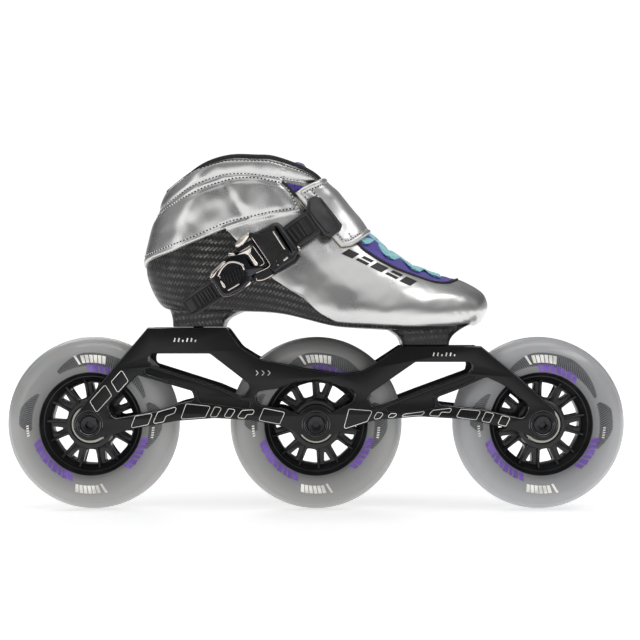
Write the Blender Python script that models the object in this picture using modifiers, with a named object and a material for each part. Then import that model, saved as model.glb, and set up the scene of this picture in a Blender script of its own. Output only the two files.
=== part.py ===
"""Inline speed skate, right foot, junior size, on three 100 mm wheels.

Row frame: +X to the toe, +Z up, -Y to the outer side of the foot.
The origin is the heel seat on top of the insole. Lengths below are in
millimetres, and the finished solids are scaled to metres at the end.
"""

import math

import bmesh
import bpy
import numpy as np
from mathutils import Matrix, Vector

MM = 1.0  # one unit is a millimetre until the last step

# ------------------------------------------------------------------ sizes
GAP = 0.3  # between neighbouring solids
WHEEL_R = 50.0
WHEEL_W = 24.0
WHEEL_PITCH = 129.5  # half of the 259 mm frame
WHEEL_MID_X = 65.7
AXLE_Z = -70.0
AXLE_R = 3.9
BEARING_R = 11.0
HUB_R = 31.7
TYRE_BORE_R = 32.0

RAIL_IN = 13.3  # inner face of each rail
RAIL_OUT = 16.7
BOSS_IN = 12.3  # the bosses reach in to the bearings
REAR_DECK_Z = -14.5
FRONT_DECK_Z = -25.0
DECK_T = 4.2

LEATHER_T = 3.0  # padded leather wall of the upper
LINER_OUT = 2.0  # the liner inside the carbon cup is set in by this
CUP_OUT = 0.1  # carbon cup: outer and inner offsets from the last form
CUP_IN = 1.5
PLATE_OUT = 2.4  # the sole plate stands proud below by this
INSOLE_T = 2.4

# ------------------------------------------------------------- collections
for o in list(bpy.data.objects):
    bpy.data.objects.remove(o, do_unlink=True)

PARTS = bpy.data.collections.new("inline_speed_skate")
CUTTERS = bpy.data.collections.new("cutters")
bpy.context.scene.collection.children.link(PARTS)
bpy.context.scene.collection.children.link(CUTTERS)


def material(name, colour, rough, metal=0.0):
    m = bpy.data.materials.new(name)
    m.use_nodes = True
    p = m.node_tree.nodes["Principled BSDF"]
    p.inputs["Base Color"].default_value = (*colour, 1.0)
    p.inputs["Roughness"].default_value = rough
    p.inputs["Metallic"].default_value = metal
    m.diffuse_color = (*colour, 1.0)
    return m


SILVER = (0.62, 0.62, 0.62)
BLACK = (0.012, 0.012, 0.014)
PURPLE = (0.10, 0.07, 0.32)
TURQUOISE = (0.30, 0.73, 0.73)
STEEL = (0.55, 0.53, 0.50)


def finish(obj, mat, smooth=True, angle=35.0):
    obj.data.materials.clear()
    obj.data.materials.append(mat)
    if smooth:
        obj.data.shade_smooth()
        obj.data.set_sharp_from_angle(angle=math.radians(angle))
    return obj


def mesh_object(name, verts, faces, mat=None, where=PARTS):
    """A mesh from points in millimetres and faces, with its faces turned outward."""
    me = bpy.data.meshes.new(name)
    me.from_pydata([tuple(float(c) * MM for c in v) for v in verts], [], faces)
    bm = bmesh.new()
    bm.from_mesh(me)
    bmesh.ops.remove_doubles(bm, verts=bm.verts, dist=0.002)
    bmesh.ops.recalc_face_normals(bm, faces=bm.faces)
    bm.to_mesh(me)
    bm.free()
    o = bpy.data.objects.new(name, me)
    where.objects.link(o)
    if where is CUTTERS:
        o.hide_render = True
        o.display_type = "WIRE"
    if mat:
        finish(o, mat)
    return o


def boolean(obj, other, how="DIFFERENCE", keep=False):
    """Applies a Boolean of a cutter to an object and drops the cutter."""
    m = obj.modifiers.new("cut", "BOOLEAN")
    m.operation = how
    m.object = other
    m.solver = "EXACT"
    deps = bpy.context.evaluated_depsgraph_get()
    deps.update()
    me = bpy.data.meshes.new_from_object(obj.evaluated_get(deps))
    obj.modifiers.clear()
    old = obj.data
    obj.data = me
    bpy.data.meshes.remove(old)
    if not keep:
        bpy.data.objects.remove(other, do_unlink=True)
    return obj


def tidy(obj):
    """Joins the flat facets that Booleans leave split."""
    bm = bmesh.new()
    bm.from_mesh(obj.data)
    bmesh.ops.remove_doubles(bm, verts=bm.verts, dist=0.002)
    bmesh.ops.dissolve_limit(bm, angle_limit=math.radians(0.3), verts=bm.verts, edges=bm.edges)
    bmesh.ops.triangulate(bm, faces=bm.faces)
    bm.to_mesh(obj.data)
    bm.free()


# ---------------------------------------------------------- the last's form
# One column of the boot runs from the wrap under the foot (row 0), over the
# feather edge (row 1), up the side, to the edge of the opening (row 6).
TOE = [(153, 3, -13.0), (160.5, 4, -11.5), (165.2, 4.5, -4), (164, 4, 3),
       (159, 3, 7.8), (150.5, 1.5, 11.9), (141.5, 0, 14.2)]
HEEL = [(-17, 0, -5.5), (-24.5, 0, -1.5), (-30.5, 0, 9), (-33, 0, 20),
        (-30.8, 0, 34), (-26, 0, 48.5), (-17.8, 0, 64.5)]
OUTER_SIDE = [
    [(147, -14, -13), (154.5, -17.5, -11.5), (158, -18.5, -5), (156.5, -17, 2),
     (151.5, -13.5, 7.8), (145.5, -9.5, 11.8), (139.5, -5.3, 14.5)],
    [(134, -24.5, -13.3), (140.5, -29.5, -11.8), (142.5, -30.8, -5.5), (141.5, -28.5, 2.5),
     (138, -23, 9), (134.5, -16, 13.2), (131, -8.5, 16.3)],
    [(114, -31.5, -13.6), (119, -38, -12), (120, -39.8, -5), (119.5, -37.5, 3.5),
     (118.5, -31, 12), (117.5, -21.5, 18.5), (116.5, -10, 23.2)],
    [(95, -33.5, -12.8), (98, -40, -11.3), (98.5, -41.8, -4), (99, -39.5, 6),
     (100, -32.5, 17.5), (101, -22.5, 27), (102, -11, 33.2)],
    [(77, -30, -11.5), (78, -36.5, -10.2), (78.3, -38.5, -3), (79, -37, 9),
     (81, -31, 23.5), (84.5, -22.5, 36.5), (88, -12, 45.5)],
    [(59, -26, -9), (59, -31.8, -7.8), (59, -34, 0), (60, -33.8, 14),
     (63, -30.5, 31), (69, -24.5, 47), (75.5, -15, 60)],
    [(42, -23, -6.3), (42, -28, -5), (42, -30.2, 3), (42.5, -31.2, 18),
     (46, -31, 37), (54, -29, 56), (64, -22, 72)],
    [(25, -22.5, -5.5), (24.5, -27.5, -4), (24, -29.8, 4), (24, -31.5, 20),
     (27, -32.5, 40), (34, -33, 60), (44, -30.5, 79.2)],
    [(14, -22.3, -5.5), (13, -27.4, -4), (12.5, -29.6, 4), (12.5, -31, 20),
     (15.2, -31.8, 40), (21.5, -33, 60), (31, -32, 80.3)],
    [(2, -21.5, -5.5), (1, -26.5, -4), (-1, -28.8, 4), (-2, -30.2, 20),
     (0.5, -31, 39), (6.5, -32.3, 59), (16, -31.8, 80)],
    [(-9, -18, -5.5), (-11.5, -22.5, -3.6), (-14.5, -25.2, 5), (-16, -26.2, 20),
     (-13.5, -26.8, 37), (-7.5, -28.5, 55), (1, -29, 75)],
    [(-15, -9.5, -5.5), (-21.5, -12.5, -2.4), (-27, -14.5, 8), (-29, -15, 20),
     (-26.7, -15.2, 34.5), (-21.5, -16.5, 49.5), (-13, -17, 66)],
]
INNER_SIDE = [
    [(149, 17, -13), (156, 21.5, -11.5), (159.5, 22.5, -5), (157.5, 20.5, 2),
     (152, 16, 8), (146, 10.5, 12), (139.5, 5.3, 14.5)],
    [(136, 25.5, -13.3), (142.5, 31, -11.8), (144.5, 32.5, -5), (143.5, 30, 3),
     (139.5, 23.5, 9.5), (135.5, 16, 13.5), (131, 8.5, 16.3)],
    [(117, 30, -13.6), (121.5, 36, -12), (122.5, 38, -4.5), (121.5, 35.5, 4.5),
     (120, 29, 13), (118.5, 20, 19), (116.5, 10, 23.2)],
    [(98, 29.5, -12.8), (101, 35.5, -11.3), (101.5, 37.5, -3.5), (102, 35.5, 7),
     (102.5, 29.5, 18.5), (102.5, 21, 27.5), (102, 11, 33.2)],
    [(78, 24.5, -11), (80, 30, -9), (80.5, 32.5, -1), (81, 32.5, 11),
     (83, 28, 25), (86, 21, 37.5), (88, 12, 45.5)],
    [(60, 20.5, -8), (61, 25.5, -5.5), (61, 29, 3), (61.5, 30.5, 17),
     (64, 28.5, 33), (70, 23.5, 48), (75.5, 15, 60)],
    [(43, 20, -5.5), (43, 25, -3.5), (43, 28, 5), (43, 30, 20),
     (46.5, 30.5, 38.5), (54, 28.5, 56.5), (64, 22, 72)],
    [(25, 20.5, -5.2), (24.5, 25.5, -3.4), (24, 28.3, 5), (24, 30.5, 20),
     (27, 32, 40), (34, 32, 60), (44, 30, 79.2)],
    [(14, 21, -5.4), (13, 26, -3.8), (12.5, 28.4, 4), (12.5, 30.2, 20),
     (15.2, 31.8, 40), (21.5, 32.5, 60), (31, 31.5, 80.3)],
    [(2, 20.7, -5.5), (1, 25.7, -4), (-1, 28, 4), (-2, 29.5, 20),
     (0.5, 30.6, 39), (6.5, 31.8, 59), (16, 31.3, 80)],
    [(-9, 17.5, -5.5), (-11.5, 22, -3.6), (-14.5, 24.7, 5), (-16, 25.8, 20),
     (-13.5, 26.5, 37), (-7.5, 28, 55), (1, 28.5, 75)],
    [(-15, 9.3, -5.5), (-21.5, 12.2, -2.4), (-27, 14.2, 8), (-29, 14.8, 20),
     (-26.7, 15, 34.5), (-21.5, 16.3, 49.5), (-13, 16.7, 66)],
]
TABLE = np.array([TOE] + OUTER_SIDE + [HEEL] + INNER_SIDE[::-1], float)
NCOL = len(TABLE)  # 26 columns round the foot
HALF = NCOL // 2
# The row at which the silver leather ends over the carbon, column by column.
EDGE_SIDE = [0.55, 0.55, 0.55, 0.55, 0.7, 2.18, 2.68, 3.55, 4.03, 3.76, 3.5, 3.28]
EDGE = np.array([0.55] + EDGE_SIDE + [3.0] + EDGE_SIDE[::-1], float)
ROWS = np.concatenate(
    [2 * TABLE[:, :1] - TABLE[:, 1:2], TABLE, 2 * TABLE[:, -1:] - TABLE[:, -2:-1]], axis=1
)


def spline(p0, p1, p2, p3, t):
    return 0.5 * (
        2 * p1
        + (p2 - p0) * t
        + (2 * p0 - 5 * p1 + 4 * p2 - p3) * t * t
        + (3 * p1 - 3 * p2 + p3 - p0) * t * t * t
    )


def last(u, r):
    """Points of the boot's outer form at columns u and rows r."""
    u, r = np.broadcast_arrays(np.asarray(u, float), np.asarray(r, float))
    iu = np.floor(u).astype(int)
    fu = (u - iu)[..., None]
    ir = np.clip(np.floor(r).astype(int), 0, 5)
    fr = (r - ir)[..., None]
    cols = []
    for k in (-1, 0, 1, 2):
        c = (iu + k) % NCOL
        cols.append(spline(ROWS[c, ir], ROWS[c, ir + 1], ROWS[c, ir + 2], ROWS[c, ir + 3], fr))
    return spline(*cols, fu)


def normal(u, r):
    h = 0.02
    r0 = np.clip(r, h, 6 - h)
    a = last(np.asarray(u, float) + h, r0) - last(np.asarray(u, float) - h, r0)
    b = last(u, r0 + h) - last(u, r0 - h)
    n = np.cross(b, a)
    return n / np.linalg.norm(n, axis=-1, keepdims=True)


def skin(u, r, off=0.0):
    """The form offset outward by off."""
    return last(u, r) + normal(u, r) * np.asarray(off, float)[..., None]


def edge_row(u):
    i = int(math.floor(u))
    f = u - i
    return EDGE[i % NCOL] * (1 - f) + EDGE[(i + 1) % NCOL] * f


def on_side(x, z, side=-1):
    """The column and row of the point of one side that is seen at x, z."""
    us = np.linspace(0.05, HALF - 0.05, 120) if side < 0 else np.linspace(HALF + 0.05, NCOL - 0.05, 120)
    rs = np.linspace(0.3, 5.95, 60)
    g = last(us[:, None], rs[None, :])
    d = (g[..., 0] - x) ** 2 + (g[..., 2] - z) ** 2
    i, j = np.unravel_index(np.argmin(d), d.shape)
    u, r = us[i], rs[j]
    for _ in range(12):
        p = last(u, r)
        du = (last(u + 0.01, r) - last(u - 0.01, r)) / 0.02
        dr = (last(u, r + 0.01) - last(u, r - 0.01)) / 0.02
        a = np.array([[du[0], dr[0]], [du[2], dr[2]]])
        e = np.array([x - p[0], z - p[2]])
        if abs(np.linalg.det(a)) < 1e-6:
            break
        s = np.clip(np.linalg.solve(a, e), -0.4, 0.4)
        u, r = u + s[0], float(np.clip(r + s[1], 0.0, 6.0))
    return u, r


def side_point(x, z, off=0.0, side=-1):
    u, r = on_side(x, z, side)
    return skin(u, r, off)


def along(points, t):
    """A smooth curve through points, t from 0 to 1 by their index."""
    p = np.asarray(points, float)
    p = np.concatenate([[2 * p[0] - p[1]], p, [2 * p[-1] - p[-2]]])
    s = np.clip(np.asarray(t, float), 0, 1) * (len(p) - 3)
    i = np.clip(np.floor(s).astype(int), 0, len(p) - 4)
    f = (s - i)[..., None]
    return spline(p[i], p[i + 1], p[i + 2], p[i + 3], f)


# The columns used for meshes: three steps an interval at the toe, else two.
COLUMNS = []
for i in range(NCOL):
    COLUMNS += [i, i + 0.5]
COLUMNS = np.array(COLUMNS, float)
NC = len(COLUMNS)


def tube_faces(rows, cols):
    """Quads of a grid that closes round its columns and is open at both ends."""
    return [
        (i * cols + j, i * cols + (j + 1) % cols, (i + 1) * cols + (j + 1) % cols, (i + 1) * cols + j)
        for i in range(rows - 1)
        for j in range(cols)
    ]


# Both layers of the cup have their points on the same lines, so their facets don't cross.
LOW_ROWS = (0.0, 0.2, 0.4, 0.7)


# -------------------------------------------------------------------- upper
def build_upper():
    rings = []

    def ring(row_of, off):
        rr = np.array([row_of(u) for u in COLUMNS])
        rings.append(skin(COLUMNS, rr, np.full(NC, -float(off))))

    step = 0.04
    # liner below the leather's cut edge
    for f in LOW_ROWS:
        ring(lambda u, f=f: f * (edge_row(u) - step), LINER_OUT)
    ring(lambda u: edge_row(u), LINER_OUT)
    # leather above it
    ring(lambda u: edge_row(u), 0.0)
    for f in (0.12, 0.32, 0.52, 0.7, 0.86, 0.965):
        ring(lambda u, f=f: edge_row(u) + f * (6 - edge_row(u)), 0.0)
    ring(lambda u: 6.0, 0.5)
    ring(lambda u: 6.0, LEATHER_T - 0.5)
    for f in (0.93, 0.78, 0.58, 0.38, 0.2, 0.12, 0.06, 0.0):
        ring(lambda u, f=f: 6 * f, LEATHER_T)
    rings.append(rings[0])
    n = len(rings) - 1
    verts = np.concatenate(rings[:-1])
    faces = []
    for i in range(n):
        k = (i + 1) % n
        for j in range(NC):
            m = (j + 1) % NC
            faces.append((i * NC + j, i * NC + m, k * NC + m, k * NC + j))
    return mesh_object("upper", verts, faces, material("silver_leather", SILVER, 0.32, 0.75))


# ------------------------------------------------------------- carbon shell
def plate_out(u):
    """How proud the shell stands: none on the cup, PLATE_OUT under the foot in front."""
    x = float(last(u, 1.0)[0])
    t = min(1.0, max(0.0, (x - 48.0) / 34.0))
    t = t * t * (3 - 2 * t)
    return -CUP_OUT + t * (PLATE_OUT + CUP_OUT)


def gap_rows(u, gap):
    d = np.linalg.norm(last(u, edge_row(u) - 0.02) - last(u, edge_row(u) + 0.02)) / 0.04
    return gap / max(d, 1.0)


def build_shell():
    rings = []
    po = np.array([plate_out(u) for u in COLUMNS])
    rim = np.array([edge_row(u) - gap_rows(u, 0.8) for u in COLUMNS])
    n_low = 3

    def ring(rr, off):
        rings.append(skin(COLUMNS, rr, off))

    for f in (*LOW_ROWS, 1.0):  # inner face, from the foot's bottom up to the rim
        ring(rim * f, np.full(NC, -CUP_IN))
    for f in (1.0, *LOW_ROWS[::-1]):  # outer face, from the rim down
        ring(rim * f, po)
    nr = len(rings)
    verts = list(np.concatenate(rings))
    faces = tube_faces(nr, NC)

    def floor(ring_index, rise):
        """Closes a ring across the foot, with points between the two sides."""
        first = ring_index * NC
        across = []
        for j in range(1, NC // 2):
            a, b = verts[first + j], verts[first + NC - j]
            row = [first + j]
            for f in (0.25, 0.5, 0.75):
                p = np.array(a) * (1 - f) + np.array(b) * f
                p = p + np.array([0, 0, rise * (1.0 if f == 0.5 else 0.9)])
                verts.append(p)
                row.append(len(verts) - 1)
            row.append(first + NC - j)
            across.append(row)
        for r0, r1 in zip(across, across[1:]):
            for k in range(4):
                faces.append((r0[k], r0[k + 1], r1[k + 1], r1[k]))
        for k in range(4):
            faces.append((first, across[0][k + 1], across[0][k]))
            faces.append((first + NC // 2, across[-1][k], across[-1][k + 1]))

    floor(0, 0.0)
    floor(nr - 1, 0.5)
    shell = mesh_object("carbon_shell", verts, faces)

    def block(name, z0, z1, low, high):
        """A mounting block: a taper between two rounded rectangles."""
        pts = []
        for (x0, x1, y0, y1), z in ((low, z0), (high, z1)):
            r = 4.0
            for cx, cy, a0 in ((x1 - r, y1 - r, 0), (x0 + r, y1 - r, 90), (x0 + r, y0 + r, 180), (x1 - r, y0 + r, 270)):
                for k in (0, 45, 90):
                    a = math.radians(a0 + k)
                    pts.append((cx + r * math.cos(a), cy + r * math.sin(a), z))
        n = 12
        f = [(j, (j + 1) % n, n + (j + 1) % n, n + j) for j in range(n)]
        f += [tuple(range(n))[::-1], tuple(range(n, 2 * n))]
        return mesh_object(name, pts, f, where=CUTTERS)

    boolean(shell, block("rear_block", REAR_DECK_Z + GAP, -4.4, (-18.5, 12.5, -16, 16), (-20.5, 20.5, -20, 19)), "UNION")
    boolean(shell, block("front_block", FRONT_DECK_Z + GAP, -13.2, (114.5, 141.7, -16.5, 16.5), (104, 149, -24, 24)), "UNION")
    for x, z0, z1 in ((REAR_BOLT_X, -20, -8.2), (FRONT_BOLT_X, -30, -17.5)):
        boolean(shell, rod("thread", x, z0, z1, 3.4), "DIFFERENCE")
    return finish(shell, material("carbon_twill", (0.02, 0.02, 0.022), 0.3))


REAR_BOLT_X = -3.0
FRONT_BOLT_X = 128.0


def rod(name, x, z0, z1, r, steps=12, where=CUTTERS):
    """An upright cylinder."""
    bm = bmesh.new()
    bmesh.ops.create_cone(bm, cap_ends=True, segments=steps, radius1=r * MM, radius2=r * MM, depth=(z1 - z0) * MM)
    me = bpy.data.meshes.new(name)
    bm.to_mesh(me)
    bm.free()
    o = bpy.data.objects.new(name, me)
    where.objects.link(o)
    o.location = (x * MM, 0, (z0 + z1) / 2 * MM)
    if where is CUTTERS:
        o.hide_render = True
        o.display_type = "WIRE"
    bpy.context.view_layer.update()
    return o


# ------------------------------------------------------------------- insole
def build_insole():
    """A thin bed: flat along the foot's middle, with an edge that climbs the feather line."""
    cols = COLUMNS[::2]
    n = len(cols)
    lift = LEATHER_T + 0.35
    rim = skin(cols, np.full(n, 0.55), np.full(n, -lift))
    flat = skin(cols, np.zeros(n), np.full(n, -lift))
    rings = [
        rim + np.array([0, 0, 1.0]),  # top of the edge
        flat * [1, 1, 0] + np.array([0, 0, 1]) * (last(cols, np.zeros(n))[:, 2:] + LEATHER_T - 0.5 + INSOLE_T + 0.6),
        flat,
        rim,
    ]
    verts = np.concatenate(rings)
    faces = []
    for a, b in ((0, 1), (2, 3), (3, 0)):
        faces += [(a * n + j, a * n + (j + 1) % n, b * n + (j + 1) % n, b * n + j) for j in range(n)]
    h = n // 2
    for off, flip in ((2 * n, 1), (n, 0)):
        quads = [(off, off + 1, off + n - 1)]
        quads += [(off + j, off + j + 1, off + n - j - 1, off + n - j) for j in range(1, h - 1)]
        quads += [(off + h - 1, off + h, off + h + 1)]
        faces += [q[::-1] if flip else q for q in quads]
    return mesh_object("insole", verts, faces, material("insole_cloth", (0.05, 0.05, 0.06), 0.85))


# ------------------------------------------------------------------- tongue
TONGUE = [  # x, z of the ridge, half width, how far the sides drop
    (139, 10.2, 6.5, 1.0), (130, 13.4, 11, 2.8), (116, 20.4, 14.5, 5.4), (102, 30.6, 15, 7.0),
    (89, 42.8, 15.5, 8.6), (77, 56.4, 16, 9.0), (68, 67.3, 17, 8.0), (60, 77.5, 17.5, 5.4), (56, 82.6, 13, 3.0),
]
TONGUE_T = 3.4


def build_tongue():
    pts = np.array(TONGUE, float)
    tan = np.gradient(pts[:, :2], axis=0)
    tan /= np.linalg.norm(tan, axis=1)[:, None]
    across = np.linspace(-1, 1, 7)
    top, bottom = [], []
    for (x, z, w, d), (tx, tz) in zip(pts, tan):
        n = np.array([-tz, 0, tx]) * (1 if tx > 0 else -1)
        n = n if n[2] > 0 else -n
        for t in across:
            drop = d * abs(t) ** 2
            thick = TONGUE_T * (1 - 0.45 * abs(t) ** 3)
            p = np.array([x, w * t, z]) - n * drop
            top.append(p)
            bottom.append(p - n * thick)
    k, m = len(across), len(pts)
    verts = top + bottom
    o = k * m
    faces = []
    for i in range(m - 1):
        for j in range(k - 1):
            a = i * k + j
            faces.append((a, a + 1, a + k + 1, a + k))
            faces.append((o + a, o + a + k, o + a + k + 1, o + a + 1))
        for a in (i * k, i * k + k - 1):
            faces.append((a, a + k, o + a + k, o + a))
    for j in range(k - 1):
        for a in (j, (m - 1) * k + j):
            faces.append((a, a + 1, o + a + 1, o + a))
    return mesh_object("tongue", verts, faces, material("tongue_cloth", PURPLE, 0.7))


# ---------------------------------------------------------------- lace bars
LACE_ROW = 5.72
EYELETS = [3.75, 3.0, 2.3, 1.75]  # columns of the four eyelet pairs, top first
LACE_W, LACE_T = 4.8, 1.2
RIDGE = [(141, 14.6), (131.5, 17.6), (120.4, 22.9), (108.5, 31.0), (97.8, 40.2), (86.1, 53.3), (78.7, 62.2), (70.3, 71.9)]


def ridge_z(x):
    xs, zs = zip(*sorted(RIDGE))
    return float(np.interp(x, xs, zs))


def ribbon(name, centre, up, width, thick, where=PARTS):
    """A flat strip along centre points, with its own up direction at each."""
    c = np.asarray(centre, float)
    t = np.gradient(c, axis=0)
    t /= np.linalg.norm(t, axis=1)[:, None]
    up = np.asarray(up, float)
    s = np.cross(up, t)
    s /= np.linalg.norm(s, axis=1)[:, None]
    n = np.cross(t, s)
    w = np.broadcast_to(np.asarray(width, float) / 2, (len(c),))[:, None]
    h = np.broadcast_to(np.asarray(thick, float) / 2, (len(c),))[:, None]
    q = [c - s * w - n * h, c + s * w - n * h, c + s * w + n * h, c - s * w + n * h]
    verts = [q[k][i] for i in range(len(c)) for k in range(4)]
    faces = []
    for i in range(len(c) - 1):
        for k in range(4):
            m = (k + 1) % 4
            faces.append((4 * i + k, 4 * i + m, 4 * i + 4 + m, 4 * i + 4 + k))
    e = 4 * (len(c) - 1)
    faces += [(3, 2, 1, 0), (e, e + 1, e + 2, e + 3)]
    return mesh_object(name, verts, faces, where=where)


def lace(name, ua, ub, drop=0.0, where=PARTS):
    """One run of the lace from the column ua of one edge over the ridge to ub."""
    lift = 0.45 + LACE_T / 2
    pa, pb = skin(ua, LACE_ROW, lift), skin(ub, LACE_ROW, lift)
    na, nb = normal(ua, LACE_ROW), normal(ub, LACE_ROW)
    ea, eb = skin(ua, 6.0, lift), skin(ub, 6.0, lift)
    mid = (ea + eb) / 2
    mid[2] = ridge_z(mid[0]) - 0.75 - drop
    nm = na + nb
    nm /= np.linalg.norm(nm)
    f = np.linspace(0, 1, 5)
    pts = along([pa, ea + (mid - ea) * 0.12, mid, eb + (mid - eb) * 0.12, pb], f)
    f = f[:, None]
    return ribbon(name, pts, na * (1 - f) + nb * f + nm * (0.6 * np.sin(np.pi * f)), LACE_W, LACE_T, where=where)


def build_laces():
    """One bar of lace between each pair of eyelets."""
    mat = material("lace", TURQUOISE, 0.6)
    for k, u in enumerate(EYELETS):
        u = u - 0.2
        finish(lace(f"lace_bar_{k + 1}", u, NCOL - u), mat)


# -------------------------------------------------------------- instep strap
# Lines across the strap, front edge first: outer end, middle, shoulder and
# crest seen from the side, then shoulder, middle and end on the inner side.
STRAP_T = 1.8
STRAP_LIFT = 1.3
STRAP_LINES = [
    [(79.5, 30), (86, 31.2), (92.3, 35.4), (97.6, 40.6), (92.3, 35.4), (87, 27), (82, 14)],
    [(53.5, 60.5), (58.5, 64.5), (66, 68.6), (70.5, 72.0), (66, 68.6), (58, 60), (50, 38)],
]


def strap_line(b, off, steps=13):
    lo, hi = (np.array(x, float) for x in STRAP_LINES)
    line = lo * (1 - b) + hi * b
    pts = []
    for k, (x, z) in enumerate(line):
        if k == 3:
            t = (hi[3] - lo[3]) / np.linalg.norm(hi[3] - lo[3])
            n = np.array([-t[1], t[0]])
            n = n if n[1] > 0 else -n
            c = np.array([x, z]) + n * (off - STRAP_T - STRAP_LIFT)
            pts.append(np.array([c[0], 0.0, c[1]]))
        else:
            extra = 0.5 if k in (2, 4) else 0.0
            pts.append(side_point(x, z, off + extra, -1 if k < 3 else 1))
    return along(pts, np.linspace(0, 1, steps))


def build_strap():
    bs = (0.0, 0.35, 0.7, 1.0)
    low = [strap_line(b, STRAP_LIFT) for b in bs]
    high = [strap_line(b, STRAP_LIFT + STRAP_T) for b in bs]
    m, k = len(low[0]), len(bs)
    verts = [p for row in low for p in row] + [p for row in high for p in row]
    o = m * k
    faces = []
    for i in range(k - 1):
        for j in range(m - 1):
            a = i * m + j
            faces.append((a, a + m, a + m + 1, a + 1))
            faces.append((o + a, o + a + 1, o + a + m + 1, o + a + m))
        for a in (i * m, i * m + m - 1):
            faces.append((a, a + m, o + a + m, o + a))
    for j in range(m - 1):
        for a in (j, (k - 1) * m + j):
            faces.append((a, a + 1, o + a + 1, o + a))
    return mesh_object("instep_strap", verts, faces, material("strap_leather", SILVER, 0.35, 0.7))


# ------------------------------------------------ cap, ladder strap and buckle
AXIS = np.array([-0.825, 0.0, -0.565])  # along the ladder strap, to its free end
ACROSS = np.array([0.565, 0.0, -0.825])
OUT = np.array([0.0, -1.0, 0.0])
BUCKLE_AT = np.array([43.0, -32.2, 29.0])  # the buckle's foot, centred on its housing


def outline_prism(name, outline, low, high, where=PARTS, chamfer=0.0):
    """A prism on an outline in the buckle's plane: s along, t across, heights from its foot."""
    pts = []
    centre = np.mean(np.array(outline, float), axis=0)
    levels = [(low, 0.0), (high - chamfer, 0.0), (high, chamfer)] if chamfer else [(low, 0.0), (high, 0.0)]
    for h, inset in levels:
        for s, t in outline:
            d = np.array([s, t]) - centre
            d = d * (1 - inset / max(np.linalg.norm(d), 1e-6))
            s2, t2 = centre + d
            pts.append(BUCKLE_AT + AXIS * s2 + ACROSS * t2 + OUT * h)
    n = len(outline)
    faces = []
    for k in range(len(levels) - 1):
        faces += [(k * n + j, k * n + (j + 1) % n, (k + 1) * n + (j + 1) % n, (k + 1) * n + j) for j in range(n)]
    faces += [tuple(range(n))[::-1], tuple(range((len(levels) - 1) * n, len(levels) * n))]
    return mesh_object(name, pts, faces, where=where)


def build_cap():
    seen = [(60.6, 56.4), (67.0, 59.4), (69.9, 58.2), (80.2, 43.4), (79.9, 40.8), (75.9, 36.9), (72.9, 36.3), (66.9, 40.0), (61.2, 50.8)]
    centre = np.mean(np.array(seen), axis=0)
    rings = []
    for off, inset in ((3.8, 0.0), (5.6, 0.0), (6.4, 1.3)):
        ring = []
        for x, z in seen:
            d = np.array([x, z]) - centre
            d = d * (1 - inset / np.linalg.norm(d))
            ring.append(strap_top(centre[0] + d[0], centre[1] + d[1], off))
        rings.append(ring)
    n = len(seen)
    verts = [p for r in rings for p in r]
    faces = []
    for k in range(2):
        faces += [(k * n + j, k * n + (j + 1) % n, (k + 1) * n + (j + 1) % n, (k + 1) * n + j) for j in range(n)]
    mids = []
    for k, off in ((0, 3.8), (2, 6.4)):
        verts.append(strap_top(centre[0], centre[1], off + 0.05))
        mids.append(len(verts) - 1)
        faces += [(k * n + j, k * n + (j + 1) % n, mids[-1]) for j in range(n)]
    return mesh_object("strap_cap", verts, faces, material("cap_rubber", BLACK, 0.45))


def strap_top(x, z, off):
    """A point above the outer side of the form, straight out at x, z."""
    u, r = on_side(x, z, -1)
    p = last(u, r)
    n = normal(u, r)
    return np.array([x, p[1] - off / max(abs(n[1]), 0.6), z])


LADDER = [(64.3, -33.9, 44.2), (56, -35.2, 38.8), (48, -35.9, 32.6), (38, -36.2, 25.6), (28, -36.2, 18.6), (18, -35.8, 11.6), (7, -35.0, 4.4), (-3.7, -34.2, -2.4)]


def build_ladder():
    pts = along(LADDER, np.linspace(0, 1, 12))
    w = np.interp(np.linspace(0, 1, 12), [0, 0.3, 1], [14.0, 14.0, 11.8])
    o = ribbon("ladder_strap", pts, np.tile(OUT, (12, 1)), w, 1.8)
    return finish(o, material("ladder_urethane", BLACK, 0.4))


def build_buckle():
    base = outline_prism("buckle_base", [(-9.3, -8.2), (-7.6, -9.8), (4.5, -12.6), (8.6, -11.4), (8.6, 11.4), (4.5, 12.6), (-7.6, 9.8), (-9.3, 8.2)], 0.0, 8.0, chamfer=1.2)
    boolean(base, outline_prism("tunnel", [(-14, -7.7), (14, -7.7), (14, 7.7), (-14, 7.7)], 2.3, 5.6, where=CUTTERS), "DIFFERENCE")
    finish(base, material("buckle_plastic", (0.02, 0.02, 0.022), 0.35))
    lever = outline_prism("buckle_lever", [(9.0, -9.4), (10.5, -12.0), (15.5, -12.0), (17.5, -9.6), (27, -9.8), (37.2, -6.4), (39.4, -3.5), (39.4, 3.5), (37.2, 6.4), (27, 9.8), (17.5, 9.6), (15.5, 12.0), (10.5, 12.0), (9.0, 9.4)], 6.0, 9.0, chamfer=0.9)
    boolean(lever, outline_prism("ring_window", [(25.0, -5.0), (29.5, -5.8), (35.8, -3.0), (35.8, 3.0), (29.5, 5.8), (25.0, 5.0)], 5.0, 10.5, where=CUTTERS), "DIFFERENCE")
    finish(lever, material("lever_metal", (0.12, 0.115, 0.11), 0.25, 0.9))
    return base, lever


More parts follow.
